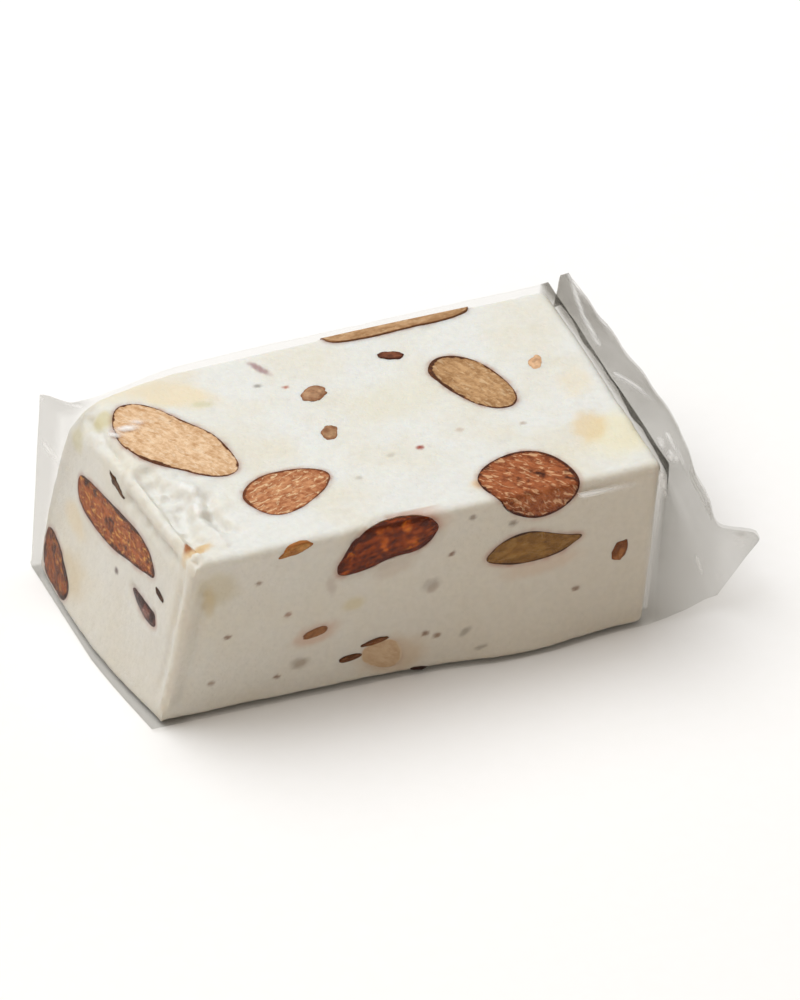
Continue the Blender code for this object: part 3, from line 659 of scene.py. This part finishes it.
grain = add(tree, "TexNoise", {"Vector": where, "Scale": 1 / (0.5 * MM), "Detail": 3.0})
height = add(tree, "Math", {0: hollow.outputs[0], 1: grain.outputs["Fac"]}, operation="ADD")
bump = add(tree, "Bump", {"Height": height.outputs[0], "Strength": 0.35, "Distance": 0.12 * MM})
shader = add(tree, "BsdfPrincipled", {
    "Base Color": stained.outputs[2], "Roughness": 0.52, "IOR": 1.45, "Normal": bump.outputs[0],
    "Subsurface Weight": 0.35, "Subsurface Radius": (1.0, 0.78, 0.55),
    "Subsurface Scale": 2.5 * MM})
add(tree, "OutputMaterial", {"Surface": shader.outputs[0]})
nougat.data.materials.clear()
nougat.data.materials.append(whipped_nougat)
nougat.data.polygons.foreach_set("material_index", [0] * len(nougat.data.polygons))
take(nougat)
bpy.ops.object.shade_smooth_by_angle(angle=math.radians(50))
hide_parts("nougat")
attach(nougat, "root")

# ---- The almonds -------------------------------------------------------------------------
# Whole shelled almonds stirred into the warm nougat. The knife went through most of them, so
# they show as smooth, flush, pale ovals with the brown skin as a thin line round each. A few
# lie with their skin outwards, a little below the surface.

# Finish: flesh, deeper flesh, flecks, share of flecks, skin, deep skin, width of the skin line
# in millimetres, and the share of the shown side that skin covers
KERNEL_FINISHES = {
    "pale": ("#eac9a4", "#c69a6e", "#f4e2c8", 0.4, "#94603c", "#552e18", 0.34, 0.0),
    "tan": ("#c89f72", "#9a7148", "#e4c8a2", 0.4, "#84522f", "#4c2914", 0.38, 0.0),
    "strip": ("#c8a078", "#a07850", "#dcc09a", 0.5, "#a07048", "#7a5030", 0.14, 0.1),
    "toasted": ("#cc9166", "#9a5833", "#efd3a8", 0.7, "#9a5b36", "#67371e", 0.3, 0.14),
    "streaked": ("#ad643b", "#773a1b", "#e2b68a", 0.7, "#7d401c", "#421c0c", 0.38, 0.22),
    "dark": ("#c25a10", "#7e3004", "#e08420", 0.8, "#9c4006", "#4a1802", 0.8, 0.6),
    "olive": ("#946a34", "#724e24", "#b08a56", 0.3, "#74492a", "#3a2412", 0.24, 0.12),
    "buried": ("#c8ac8c", "#b99a7a", "#d0b392", 0.3, "#ccb79c", "#c8b298", 0.3, 0.0),
    "amber": ("#ae5c24", "#76340c", "#dea450", 0.7, "#884218", "#401e0a", 0.42, 0.35),
    "chestnut": ("#984a12", "#602a06", "#c08030", 0.6, "#763810", "#341606", 0.42, 0.4),
    "plum": ("#7a4436", "#4a221a", "#a87c6c", 0.6, "#5f3026", "#2f130e", 0.5, 0.6),
}


def kernel_finish(finish_name):
    """The finish of almonds cut alike. Its pattern follows the kernel's own places: along it,
    across it and, in millimetres, in from its rim."""
    flesh, deep_flesh, fleck, flecked, skin, deep_skin, line, covered = (
        KERNEL_FINISHES[finish_name])
    finish, tree = new_finish(finish_name + "_almond")
    where = add(tree, "TexCoord").outputs["Object"]
    kernel = add(tree, "Attribute", attribute_name="kernel")
    axes = add(tree, "SeparateXYZ", {0: kernel.outputs["Vector"]})
    # The skin line swells and thins over 3 mm, is ragged over 0.7 mm, and breaks off in places
    blotch = add(tree, "TexNoise", {"Vector": where, "Scale": 1 / (3.2 * MM), "Detail": 2.0})
    wide = add(tree, "MapRange", {"Value": blotch.outputs["Fac"], "From Min": 0.36,
                                  "From Max": 0.66, "To Min": 0.1 * line, "To Max": 1.3 * line})
    ragged = add(tree, "TexNoise", {"Vector": where, "Scale": 1 / (0.7 * MM), "Detail": 3.0})
    rough = add(tree, "MapRange", {"Value": ragged.outputs["Fac"], "From Min": 0.3,
                                   "From Max": 0.7, "To Min": -0.3 * line, "To Max": 0.3 * line})
    reach = add(tree, "Math", {0: wide.outputs[0], 1: rough.outputs[0]}, operation="ADD")
    inside = add(tree, "Math", {0: axes.outputs[2], 1: reach.outputs[0]}, operation="SUBTRACT")
    in_skin = add(tree, "MapRange", {"Value": inside.outputs[0], "From Min": -0.06,
                                     "From Max": 0.16, "To Min": 1.0, "To Max": 0.0},
                  interpolation_type="SMOOTHSTEP")
    # Ridges of the skin, 0.6 mm apart, and the finer streaks of the flesh run lengthwise
    along = add(tree, "VectorMath", {0: kernel.outputs["Vector"], 1: (0.42, 1.1, 0.0)},
                operation="MULTIPLY")
    ridges = add(tree, "TexNoise", {"Vector": along.outputs[0], "Scale": 1.0, "Detail": 4.0,
                                    "Distortion": 0.4})
    patches = add(tree, "TexNoise", {"Vector": where, "Scale": 1 / (3.0 * MM), "Detail": 3.0})
    cover = add(tree, "MapRange", {"Value": patches.outputs["Fac"],
                                   "From Min": 0.72 - 0.5 * covered,
                                   "From Max": 0.80 - 0.5 * covered})
    skin_share = add(tree, "Math", {0: in_skin.outputs[0], 1: cover.outputs[0]},
                     operation="MAXIMUM")
    crumbs = add(tree, "TexNoise", {"Vector": where, "Scale": 1 / (0.8 * MM), "Detail": 5.0,
                                    "Roughness": 0.7})
    deeper = add(tree, "MapRange", {"Value": axes.outputs[2], "From Min": 0.2, "From Max": 2.2,
                                    "To Min": 0.16, "To Max": 0.0})
    tone = add(tree, "Math", {0: crumbs.outputs["Fac"], 1: ridges.outputs["Fac"]},
               operation="ADD")
    tone = add(tree, "Math", {0: tone.outputs[0], 1: deeper.outputs[0]}, operation="ADD")
    flesh_tone = add(tree, "MapRange", {"Value": tone.outputs[0], "From Min": 0.86,
                                        "From Max": 1.24})
    flesh_colour = add(tree, "Mix", {0: flesh_tone.outputs[0], 6: linear(flesh),
                                     7: linear(deep_flesh)}, data_type="RGBA")
    # Pale flecks where the knife tore the flesh, about 0.8 mm across and drawn out lengthwise
    torn_spots = add(tree, "TexNoise", {"Vector": along.outputs[0], "Scale": 1.5,
                                        "Detail": 4.0, "Distortion": 0.8})
    fleck_share = add(tree, "MapRange", {"Value": torn_spots.outputs["Fac"], "From Min": 0.54,
                                         "From Max": 0.64, "To Max": flecked})
    flesh_colour = add(tree, "Mix", {0: fleck_share.outputs[0], 6: flesh_colour.outputs[2],
                                     7: linear(fleck)}, data_type="RGBA")
    skin_tone = add(tree, "MapRange", {"Value": tone.outputs[0], "From Min": 0.8,
                                       "From Max": 1.15})
    skin_colour = add(tree, "Mix", {0: skin_tone.outputs[0], 6: linear(skin),
                                    7: linear(deep_skin)}, data_type="RGBA")
    colour = add(tree, "Mix", {0: skin_share.outputs[0], 6: flesh_colour.outputs[2],
                               7: skin_colour.outputs[2]}, data_type="RGBA")
    relief = add(tree, "Math", {0: ridges.outputs["Fac"], 1: crumbs.outputs["Fac"]},
                 operation="ADD")
    bump = add(tree, "Bump", {"Height": relief.outputs[0], "Strength": 0.5,
                              "Distance": 0.14 * MM})
    shader = add(tree, "BsdfPrincipled", {
        "Base Color": colour.outputs[2], "Roughness": 0.6 if covered < 0.6 else 0.35,
        "IOR": 1.46, "Specular IOR Level": 0.15, "Normal": bump.outputs[0]})
    add(tree, "OutputMaterial", {"Surface": shader.outputs[0]})
    return finish


kernel_finishes = {name: kernel_finish(name) for name in KERNEL_FINISHES}
for number, (name, face, outline, finish_name, below, bulge, heavy) in enumerate(ALMONDS):
    almond, shown, from_middle = kernel_solid(name + "_kernel", face, outline, below, bulge,
                                               KERNEL_DEEP, RINGS)
    _, rim, axes = closed_outline(outline)
    inward = from_line(from_middle, np.vstack((rim, rim[:1])))
    long = np.maximum(np.linalg.norm(from_middle, axis=1), 1e-6)
    towards = np.clip(from_middle @ np.array(heavy[:2]) / long, 0, 1)
    inward = np.where(shown, inward - heavy[2] * towards ** 2, 0.0)
    kernel = np.column_stack((from_middle @ axes.T + 31.0 * number, inward))
    layer = almond.data.attributes.new("kernel", "FLOAT_VECTOR", "POINT")
    layer.data.foreach_set("vector", kernel.astype(np.float32).ravel())
    almond.data.materials.clear()
    almond.data.materials.append(kernel_finishes[finish_name])
    take(almond)
    bpy.ops.object.shade_smooth_by_angle(angle=math.radians(40))
    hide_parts(name)
    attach(almond, "root")

# ---- Bits of almond ----------------------------------------------------------------------
# Crumbs and slivers of broken almond, 2 to 6 mm long, pressed into the nougat with it. They
# stand out of it by a quarter of a millimetre, and are tan where broken and dark where skinned.

# Face, place, length, width, turn, colour, skin colour
BITS = [
    ("top", (35.6, 37.0), 5.2, 3.6, 32, "#c8a07c", "#8e5e40"),
    ("top", (33.8, 25.8), 4.4, 3.0, 68, "#b8906c", "#8a5a3c"),
    ("top", (51.5, 42.9), 4.2, 2.2, -21, "#8a5238", "#4a2013"),
    ("top", (72.8, 32.5), 4.6, 2.8, 67, "#dcb48e", "#c89a74"),
    ("front", (17.2, 30.7), 5.6, 1.9, 14, "#c08a4e", "#9a5f2c"),
    ("front", (73.6, 16.3), 4.4, 2.4, 74, "#a66c3e", "#66361c"),
    ("front", (21.3, 12.7), 4.4, 1.8, 17, "#9a6a44", "#86583a"),
    ("front", (40.2, 1.6), 4.4, 2.0, 18, "#4a2a1a", "#22100a"),
    ("front", (31.5, 8.2), 4.8, 1.1, 10, "#80502f", "#4c2c19"),
    ("front", (27.4, 5.9), 4.0, 1.3, 6, "#80502f", "#4c2c19"),
    ("front", (56.6, 3.3), 2.4, 1.7, 11, "#4e4a3a", "#33302a"),
    ("front", (48.0, 2.9), 4.6, 0.7, 18, "#6a4a34", "#3c2416"),
    ("front", (70.8, 2.9), 4.2, 1.9, 22, "#6d4a32", "#3c2416"),
    ("left", (28.4, 28.5), 6.4, 1.1, 12, "#6d4c30", "#40291a"),
    ("left", (29.4, 28.7), 1.9, 1.7, 0, "#5e3f28", "#33200f"),
    ("left", (8.5, 20.2), 3.4, 0.9, 14, "#5e3a22", "#2e1a0e"),
    ("back", (29.0, 24.5), 4.4, 3.0, 40, "#b08a68", "#6e442c"),
    ("back", (56.0, 19.0), 5.0, 2.8, -15, "#c98d52", "#8a5026"),
    ("back", (74.0, 23.0), 3.6, 2.4, 60, "#8a5238", "#5a2c1c"),
    ("right", (30.0, 24.0), 4.4, 2.6, 15, "#b58156", "#6b3c22"),
    ("right", (10.0, 7.0), 4.0, 3.0, -30, "#b08a68", "#6e442c"),
]
bits = []
for number, (face, place, length, width, turn, colour, skin) in enumerate(BITS):
    turn_matrix, middle = place_on(face, place, turn, 0.2 - FULLER)
    bpy.ops.mesh.primitive_ico_sphere_add(subdivisions=4, radius=1.0)
    bit = bpy.context.active_object
    unit = points_of(bit)
    jag = 1 + 0.22 * uneven(unit, 0.9, 3, number * 5.0)
    high = np.where(unit[:, 2] > 0, 0.34 + 0.05 * uneven(unit, 0.4, 2, number), 1.3)
    local = unit * jag[:, None] * (length / 2, width / 2, 1.0)
    local[:, 2] *= high
    put_points(bit, local @ np.array(turn_matrix).T + np.array(middle))
    patch = np.clip(0.5 + 1.4 * uneven(unit, 1.1, 2, number * 3.0 + 2.0), 0, 1)[:, None]
    rim = np.clip(np.hypot(unit[:, 0], unit[:, 1]) * 3.2 - 2.1, 0, 1)[:, None]
    dark = np.maximum(0.8 * patch, rim)
    tones = np.array(linear(colour)) * (1 - dark) + np.array(linear(skin)) * dark
    paint(bit, "tone", tones)
    bits.append(bit)
bpy.ops.object.select_all(action="DESELECT")
for bit in bits:
    bit.select_set(True)
bpy.context.view_layer.objects.active = bits[0]
bpy.ops.object.join()
bits = bpy.context.active_object
bits.name = bits.data.name = "almond_bits"

# Broken almond: dry and crumbly where it broke, with 0.4 mm grains, and satin on its skin
broken_almond, tree = new_finish("broken_almond")
where = add(tree, "TexCoord").outputs["Object"]
tones = add(tree, "Attribute", attribute_name="tone")
grains = add(tree, "TexNoise", {"Vector": where, "Scale": 1 / (0.6 * MM), "Detail": 4.0})
shade = add(tree, "MapRange", {"Value": grains.outputs["Fac"], "From Min": 0.3, "From Max": 0.7,
                               "To Min": 0.7, "To Max": 1.15})
toned = add(tree, "Mix", {0: 1.0, 6: tones.outputs["Color"], 7: shade.outputs[0]},
            data_type="RGBA", blend_type="MULTIPLY")
bump = add(tree, "Bump", {"Height": grains.outputs["Fac"], "Strength": 0.6,
                          "Distance": 0.15 * MM})
shader = add(tree, "BsdfPrincipled", {"Base Color": toned.outputs[2], "Roughness": 0.6,
                                      "IOR": 1.46, "Specular IOR Level": 0.12,
                                      "Normal": bump.outputs[0]})
add(tree, "OutputMaterial", {"Surface": shader.outputs[0]})
bits.data.materials.clear()
bits.data.materials.append(broken_almond)
take(bits)
bpy.ops.object.shade_smooth()
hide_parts("nougat")
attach(bits, "root")

# ---- The film ----------------------------------------------------------------------------
# A clear plastic film drawn tight round the slice. At the left its end lies flat, with a square
# ear beside the slice's round corner. At the right it is gathered to a flat seam, and creased.

FILM_CORNERS = {
    (0, 0, 0): (-6.2, 0.7, 0.0),
    (1, 0, 0): (79.6, -1.3, 0.0),
    (0, 1, 0): (-8.7, 50.6, 0.0),
    (1, 1, 0): (81.8, 52.1, 0.0),
    (0, 0, 1): (-0.6, -2.0, 32.3),
    (1, 0, 1): (81.3, -2.3, 32.3),
    (0, 1, 1): (-6.2, 52.6, 32.3),
    (1, 1, 1): (83.9, 53.5, 32.7),
}
FILM_BEND = 0.7
FILM_THICK = 0.08
FILM_FOOT_DEEP = 1.4
SEAM_RISE = 1.4
SEAM_SLOPE = 8.2
SEAM_HALF_GAP = 0.65
SEAM_BACK = np.array((94.4, 68.0, 22.8))
SEAM_FRONT = np.array((100.2, -0.4, 10.6))
# How far the seam's rim is drawn in: share of the way along it, and millimetres
SEAM_PULL = [(0.0, 0.0), (0.5, -0.1), (0.6, 0.4), (0.65, 1.3), (0.7, 2.1), (0.75, 2.9), (0.8, 3.6),
             (0.84, 4.1), (0.88, 4.8), (0.9, 5.1), (0.918, 5.0), (0.93, 3.7), (0.942, 1.9),
             (0.952, 0.7), (0.965, 0.1), (0.98, 0.5), (0.99, 1.1), (1.0, 2.2)]
ACROSS_STEPS = 56
UP_STEPS = 34
ALONG_STEPS = 76
TENT_STEPS = 46
SEAM_STEPS = 12


def eased(count):
    """Shares from 0 to 1 that are closer together near both ends."""
    even = np.linspace(0, 1, count + 1)
    return 0.6 * even + 0.4 * (0.5 - 0.5 * np.cos(math.pi * even))


def film_round(along, across, up):
    """Points of the film round the slice at shares along, across and up. Its long edges are
    bent, and beside the ear at its left end it follows the slice's round corner."""
    size = np.array((54.0, 32.3))
    place = (np.stack((across, up), axis=1) - 0.5) * size
    beyond = np.clip(along / 0.05, 0, 1)
    near = np.exp(-((along - 0.06) * 80 / ROUND_CORNER_REACH) ** 2)
    soft = near * beyond * beyond * (3 - 2 * beyond)
    soft = soft * (across > 0.5) * (up > 0.5)
    radius = FILM_BEND + (ROUND_CORNER_RADIUS - FILM_BEND) * soft
    room = size / 2 - radius[:, None]
    inner = np.clip(place, -room, room)
    out = place - inner
    long = np.linalg.norm(out, axis=1)
    bent = inner + out / np.maximum(long, 1e-9)[:, None] * np.minimum(long, radius)[:, None]
    share = bent / size + 0.5
    point = blend_corners(FILM_CORNERS, np.stack((along, share[:, 0], share[:, 1]), axis=1))
    point[:, 1] -= swell(point[:, 0], point[:, 2], share[:, 0])
    point[:, 0] -= FILM_FOOT_DEEP * left_foot(point[:, 2], along, share[:, 0])
    return point


def seam_point(along, side, out):
    """Points of the flat seam: along is 0 at its back end and 1 at its front, side is 1 on its
    upper layer and -1 on its lower one, and out is 0 at its root and 1 at its rim."""
    point = SEAM_BACK + (SEAM_FRONT - SEAM_BACK) * along[:, None]
    point[:, 0] = SEAM_BACK[0] + (SEAM_FRONT[0] - SEAM_BACK[0]) * along ** 1.5
    pull = np.interp(along, *np.array(SEAM_PULL).T) + 0.15 * np.sin(along * 44)
    width = (5.0 + 3.4 * along ** 3) * (1 - 0.7 * np.exp(-along * 12))
    point[:, 0] -= pull * out + width * (1 - out)
    point[:, 2] += SEAM_RISE * np.sin(math.pi * along) + side * SEAM_HALF_GAP
    point[:, 2] -= SEAM_SLOPE * along ** 3 * (1 - out)
    return point


across_shares, up_shares = eased(ACROSS_STEPS), eased(UP_STEPS)
half_up = UP_STEPS // 2
ring = ([(1.0, up) for up in up_shares[half_up:-1]]
        + [(across, 1.0) for across in across_shares[:0:-1]]
        + [(0.0, up) for up in up_shares[:0:-1]]
        + [(across, 0.0) for across in across_shares[:-1]]
        + [(1.0, up) for up in up_shares[:half_up]])
ring = np.array(ring)
around = len(ring)
front_foot = int(np.argmin(np.hypot(ring[:, 0], ring[:, 1])))
end_ring = film_round(np.ones(around), ring[:, 0], ring[:, 1])
gaps = np.linalg.norm(np.roll(end_ring, -1, axis=0) - end_ring, axis=1)
so_far = np.concatenate(([0.0], np.cumsum(gaps)[:-1]))
first_part = so_far[front_foot]
seam_share = np.where(so_far <= first_part, so_far / first_part,
                      1 - (so_far - first_part) / (gaps.sum() - first_part))
upper = np.arange(around) <= front_foot
seam_side = np.where(upper, 1.0, -1.0) * np.clip(np.minimum(seam_share, 1 - seam_share) / 0.04,
                                                 0, 1)
rows = [film_round(np.full(around, along), ring[:, 0], ring[:, 1])
        for along in eased(ALONG_STEPS)]
root = seam_point(seam_share, seam_side, 0.0)
pleat = (0.55 * np.sin(seam_share * 31 + 1.1) + 0.35 * np.sin(seam_share * 57 + 0.4)
         + 0.2 * np.sin(seam_share * 103))
for step in range(1, TENT_STEPS + 1):
    gather = step / TENT_STEPS
    row = end_ring + (root - end_ring) * gather
    power = np.where(upper, 0.85, 1.7)
    row[:, 2] = end_ring[:, 2] + (root[:, 2] - end_ring[:, 2]) * gather ** power
    open_share = np.minimum(gather * 3, 1) * (1 - gather) ** 0.5
    row[:, 2] += 0.5 * pleat * open_share * np.where(upper, 1.0, 0.25)
    row[:, 0] += 0.35 * pleat * open_share * np.sin(math.pi * gather)
    rows.append(row)
for step in range(1, SEAM_STEPS + 1):
    out = step / SEAM_STEPS
    row = seam_point(seam_share, seam_side * (1 - 0.55 * out), out)
    row[:, 2] += 0.12 * np.sin(seam_share * 31 + 1.1) * out
    rows.append(row)
tube = np.stack(rows)

bpy.ops.mesh.primitive_grid_add(x_subdivisions=around, y_subdivisions=len(rows) - 1, size=2.0)
film = bpy.context.active_object
film.name = film.data.name = "film_wrapper"
flat_sheet = points_of(film)
column = np.rint((flat_sheet[:, 0] + 1) / 2 * around).astype(int) % around
line = np.rint((flat_sheet[:, 1] + 1) / 2 * (len(rows) - 1)).astype(int)
put_points(film, tube[line, column])
bpy.ops.mesh.primitive_grid_add(x_subdivisions=ACROSS_STEPS, y_subdivisions=UP_STEPS, size=2.0)
end_sheet = bpy.context.active_object
flat_sheet = points_of(end_sheet)
column = np.rint((flat_sheet[:, 0] + 1) / 2 * ACROSS_STEPS).astype(int)
line = np.rint((flat_sheet[:, 1] + 1) / 2 * UP_STEPS).astype(int)
put_points(end_sheet, film_round(np.zeros(len(column)), across_shares[column], up_shares[line]))
bpy.ops.object.select_all(action="DESELECT")
end_sheet.select_set(True)
film.select_set(True)
bpy.context.view_layer.objects.active = film
bpy.ops.object.join()
bpy.ops.object.mode_set(mode="EDIT")
bpy.ops.mesh.select_all(action="SELECT")
bpy.ops.mesh.remove_doubles(threshold=0.002 * MM)
bpy.ops.mesh.normals_make_consistent(inside=False)
bpy.ops.object.mode_set(mode="OBJECT")

# Creases: points along each, height, width, and how white the film is along it, partly stretched
# milky film and partly painted glint
CREASES = [
    ([(94.1, 65.4, 22.8), (94.3, 57.6, 22.2), (94.9, 47.7, 20.9), (96.0, 38.0, 19.5),
      (97.2, 32.0, 18.4)], 0.2, 0.3, 0.75),
    ([(94.3, 67.8, 22.8), (92.1, 56.6, 22.1), (91.6, 48.9, 21.0)], 0.3, 0.4, 0.6),
    ([(91.6, 41.5, 19.6), (93.6, 37.9, 19.1), (95.1, 34.0, 18.6)], 0.3, 0.4, 0.65),
    ([(94.3, 26.7, 16.5), (94.5, 20.9, 14.8), (94.6, 15.8, 13.5), (94.4, 8.6, 12.0)], 0.3, 0.32,
     0.7),
    ([(94.9, 20.6, 14.9), (95.4, 16.4, 14.2), (94.9, 11.2, 13.8), (95.0, 6.5, 11.6)], 0.25, 0.26,
     0.6),
    ([(92.9, 26.1, 15.9), (92.7, 24.8, 15.4)], 0.35, 0.5, 0.8),
    ([(93.0, 22.6, 14.7), (93.2, 21.8, 14.6)], 0.35, 0.5, 0.8),
    ([(93.4, 23.3, 15.2), (93.9, 21.0, 14.6)], 0.3, 0.35, 0.7),
    ([(90.3, 4.6, 6.7), (90.4, 2.6, 5.4)], 0.3, 0.4, 0.5),
    ([(92.9, 1.6, 5.4), (92.6, 0.2, 4.2)], 0.3, 0.35, 0.5),
    ([(98.6, 4.4, 11.4), (97.0, 2.6, 9.4)], 0.2, 0.35, 0.5),
    ([(79.9, -2.2, 30.7), (80.9, -2.1, 26.1)], 0.15, 0.4, 0.6),
    ([(79.7, -2.2, 30.4), (78.8, -1.8, 17.7), (78.2, -1.5, 4.0)], 0.15, 0.4, 0.4),
    ([(65.8, -2.1, 29.6), (70.4, -2.2, 29.4), (75.2, -2.2, 29.2)], 0.12, 0.35, 0.7),
    ([(-6.2, 51.6, 31.6), (-1.0, 46.3, 32.3)], 0.1, 0.35, 0.6),
    ([(-6.7, 50.3, 24.3), (-6.0, 42.2, 23.5)], 0.15, 0.35, 0.6),
    ([(0.9, 37.2, 32.3), (6.1, 39.0, 32.3)], 0.15, 0.6, 0.8),
]


def rise(values, start, length):
    """From 0 at a start to 1 a length further on."""
    return np.clip((values - start) / length, 0, 1)


film_points, film_normals = slice_points_of(film), normals_of(film)
lift = np.zeros(len(film_points))
whitening_and_glint = np.zeros(len(film_points))
# White along each crease: partly stretched film and partly painted glints
for route, high, wide, white in CREASES:
    gap = from_line(film_points, route)
    lift += high * np.exp(-gap / wide)
    whitening_and_glint = np.maximum(whitening_and_glint, white * np.exp(-(gap / (0.7 * wide)) ** 2))
slack = 0.14 * uneven(film_points, 11.0, 2, 60.0) - 0.16
slack[film_points[:, 2] < 1.0] = 0.0
tight = np.minimum(slack + lift, 0.0)
loose = lift * 0.6 + 0.1 * uneven(film_points, 3.0, 2, 30.0)
tent_share = rise(film_points[:, 0], 82, 4)
lift = tight * (1 - tent_share) + loose * tent_share
film_points = film_points + film_normals * lift[:, None]
box_low = np.array(cad_low) / MM - FRAME_SHIFT + 0.05
box_high = np.array(cad_high) / MM - FRAME_SHIFT - 0.05
put_points(film, np.clip(film_points, box_low, box_high))
layer = film.data.attributes.new("whitening_and_glint", "FLOAT", "POINT")
layer.data.foreach_set("value", whitening_and_glint.astype(np.float32))
# Beyond the slice's end the film is gathered and greyer where its layers overlap, and it is
# painted greyer the higher it lies, as painted shade. Its ear at the left is folded too; its foot
# there is painted grey as shadow.
x, y, z = film_points.T
beyond_slice = rise(x - 2.5 * (y + 1.2) / 53.4, 80.1, 0.6)
gathered_grey_and_shade = (0.06 + 0.14 * rise(z, 4, 6) + 0.4 * rise(z, 10, 10) + 0.35 * rise(z, 20, 4)
            + 0.14 * rise(x, 95, 3))
overlap_and_shade = beyond_slice * gathered_grey_and_shade * (1 + 0.3 * uneven(film_points, 9.0, 2, 90.0))
ear = rise(y, 44, 3) * rise(-x, -1.5, 2)
foot_shadow = rise(-z, -2.5, 1.5) * rise(-x, -0.5, 1)
overlap_and_shade = np.maximum(overlap_and_shade, np.maximum(0.28 * ear, 0.17 * foot_shadow))
layer = film.data.attributes.new("overlap_and_shade", "FLOAT", "POINT")
layer.data.foreach_set("value", np.clip(overlap_and_shade, 0, 1).astype(np.float32))
finish_with(film, "SOLIDIFY", thickness=FILM_THICK * MM, offset=-1.0, use_rim=True)

# Cast polypropylene film, 0.03 mm thick in reality: clear, with sharp gloss at grazing angles,
# a faint grey where it overlaps with painted shade higher up, and white crease lines, partly
# stretched milky film and partly painted glints.
clear_film, tree = new_finish("cast_polypropylene_film")
where = add(tree, "TexCoord").outputs["Object"]
white = add(tree, "Attribute", attribute_name="whitening_and_glint")
crinkle = add(tree, "TexNoise", {"Vector": where, "Scale": 1 / (5.0 * MM), "Detail": 4.0,
                                 "Roughness": 0.6})
bump = add(tree, "Bump", {"Height": crinkle.outputs["Fac"], "Strength": 0.6,
                          "Distance": 0.5 * MM})
graze = add(tree, "LayerWeight", {"Blend": 0.5, "Normal": bump.outputs[0]})
steep = add(tree, "Math", {0: graze.outputs["Facing"], 1: 4.0}, operation="POWER")
gloss_share = add(tree, "Math", {0: steep.outputs[0], 1: 0.14, 2: 0.004}, operation="MULTIPLY_ADD")
# Grey of overlapping film, with painted shade higher up and painted shadow at the left foot
overlap_and_shade_node = add(tree, "Attribute", attribute_name="overlap_and_shade")
tint = add(tree, "Mix", {0: overlap_and_shade_node.outputs["Fac"], 6: (0.985, 0.984, 0.98, 1.0),
                         7: (0.72, 0.71, 0.69, 1.0)}, data_type="RGBA")
through = add(tree, "BsdfTransparent", {"Color": tint.outputs[2]})
gloss = add(tree, "BsdfGlossy", {"Color": (1.0, 1.0, 1.0, 1.0), "Roughness": 0.16,
                                 "Normal": bump.outputs[0]})
clear = add(tree, "MixShader", {0: gloss_share.outputs[0], 1: through.outputs[0],
                                2: gloss.outputs[0]})
# White diffuse for the crease lines: stretched milky film and painted glints
milky_and_glint = add(tree, "BsdfDiffuse", {"Color": linear("#fbfaf8"), "Roughness": 0.2})
both = add(tree, "MixShader", {0: white.outputs["Fac"], 1: clear.outputs[0],
                               2: milky_and_glint.outputs[0]})
add(tree, "OutputMaterial", {"Surface": both.outputs[0]})
film.data.materials.clear()
film.data.materials.append(clear_film)
take(film)
bpy.ops.object.shade_smooth()
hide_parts("wrapper")
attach(film, "root")

# ---- Floor, light and camera -------------------------------------------------------------
# A plain white card, one large soft light high at the back left, weak ones at the front left and
# the right, and the room's light. The camera stands where the photograph's did, on a longer lens.

bpy.ops.mesh.primitive_plane_add(size=6.0, location=(0.0, 0.0, -0.1 * MM))
floor = bpy.context.active_object
floor.name = "floor"
card, tree = new_finish("matt_white_card")
where = add(tree, "TexCoord").outputs["Object"]
fibres = add(tree, "TexNoise", {"Vector": where, "Scale": 1 / (3.0 * MM), "Detail": 2.0})
tone = add(tree, "Mix", {0: fibres.outputs["Fac"], 6: linear("#f4f3f1"), 7: linear("#f6f5f4")},
           data_type="RGBA")
shader = add(tree, "BsdfPrincipled", {"Base Color": tone.outputs[2], "Roughness": 0.9})
add(tree, "OutputMaterial", {"Surface": shader.outputs[0]})
floor.data.materials.append(card)
floor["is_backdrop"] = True


def soft_light(name, place, size, power, colour):
    """A square soft light that faces the slice."""
    aim = (Vector((0.0, 0.0, 0.015)) - Vector(place)).to_track_quat("-Z", "Y").to_euler()
    bpy.ops.object.light_add(type="AREA", location=place, rotation=aim)
    light = bpy.context.active_object
    light.name = name
    light.data.shape = "SQUARE"
    light.data.size = size
    light.data.energy = power
    light.data.color = linear(colour)[:3]


soft_light("key_light", (-0.42, 0.5, 1.5), 1.7, 31.5, "#fbfdff")
soft_light("fill_light", (-0.6, -0.95, 0.42), 0.8, 1.9, "#ffeeda")
soft_light("side_light", (0.9, 0.35, 0.4), 0.7, 1.6, "#ffffff")
world = bpy.data.worlds.new("pale_room")
bpy.context.scene.world = world
world.use_nodes = True
world.node_tree.nodes["Background"].inputs["Color"].default_value = linear("#fff6ec")
world.node_tree.nodes["Background"].inputs["Strength"].default_value = 0.28
bpy.context.scene.view_settings.view_transform = "Standard"

camera_place = Vector((-0.395666, -0.928202, 0.7106))
pitch, yaw = math.radians(29.63), math.radians(20.62)
ahead = Vector((math.sin(yaw) * math.cos(pitch), math.cos(yaw) * math.cos(pitch),
                -math.sin(pitch)))
right = Vector((math.cos(yaw), -math.sin(yaw), 0.0))
above = right.cross(ahead)
lens_axes = Matrix((right, above, -ahead)).transposed().to_quaternion()
# The photograph's lens is 3000 of its pixels long, and the slice is right of its middle and below
to_slice = (ahead * 3000 + right * 115.5 - above * 269).normalized()
bpy.ops.object.camera_add(location=camera_place)
camera = bpy.context.active_object
camera.rotation_mode = "QUATERNION"
camera.rotation_quaternion = ahead.rotation_difference(to_slice) @ lens_axes
camera.data.sensor_width = 36.0
camera.data.lens = 270.0
bpy.context.scene.camera = camera

low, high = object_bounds()
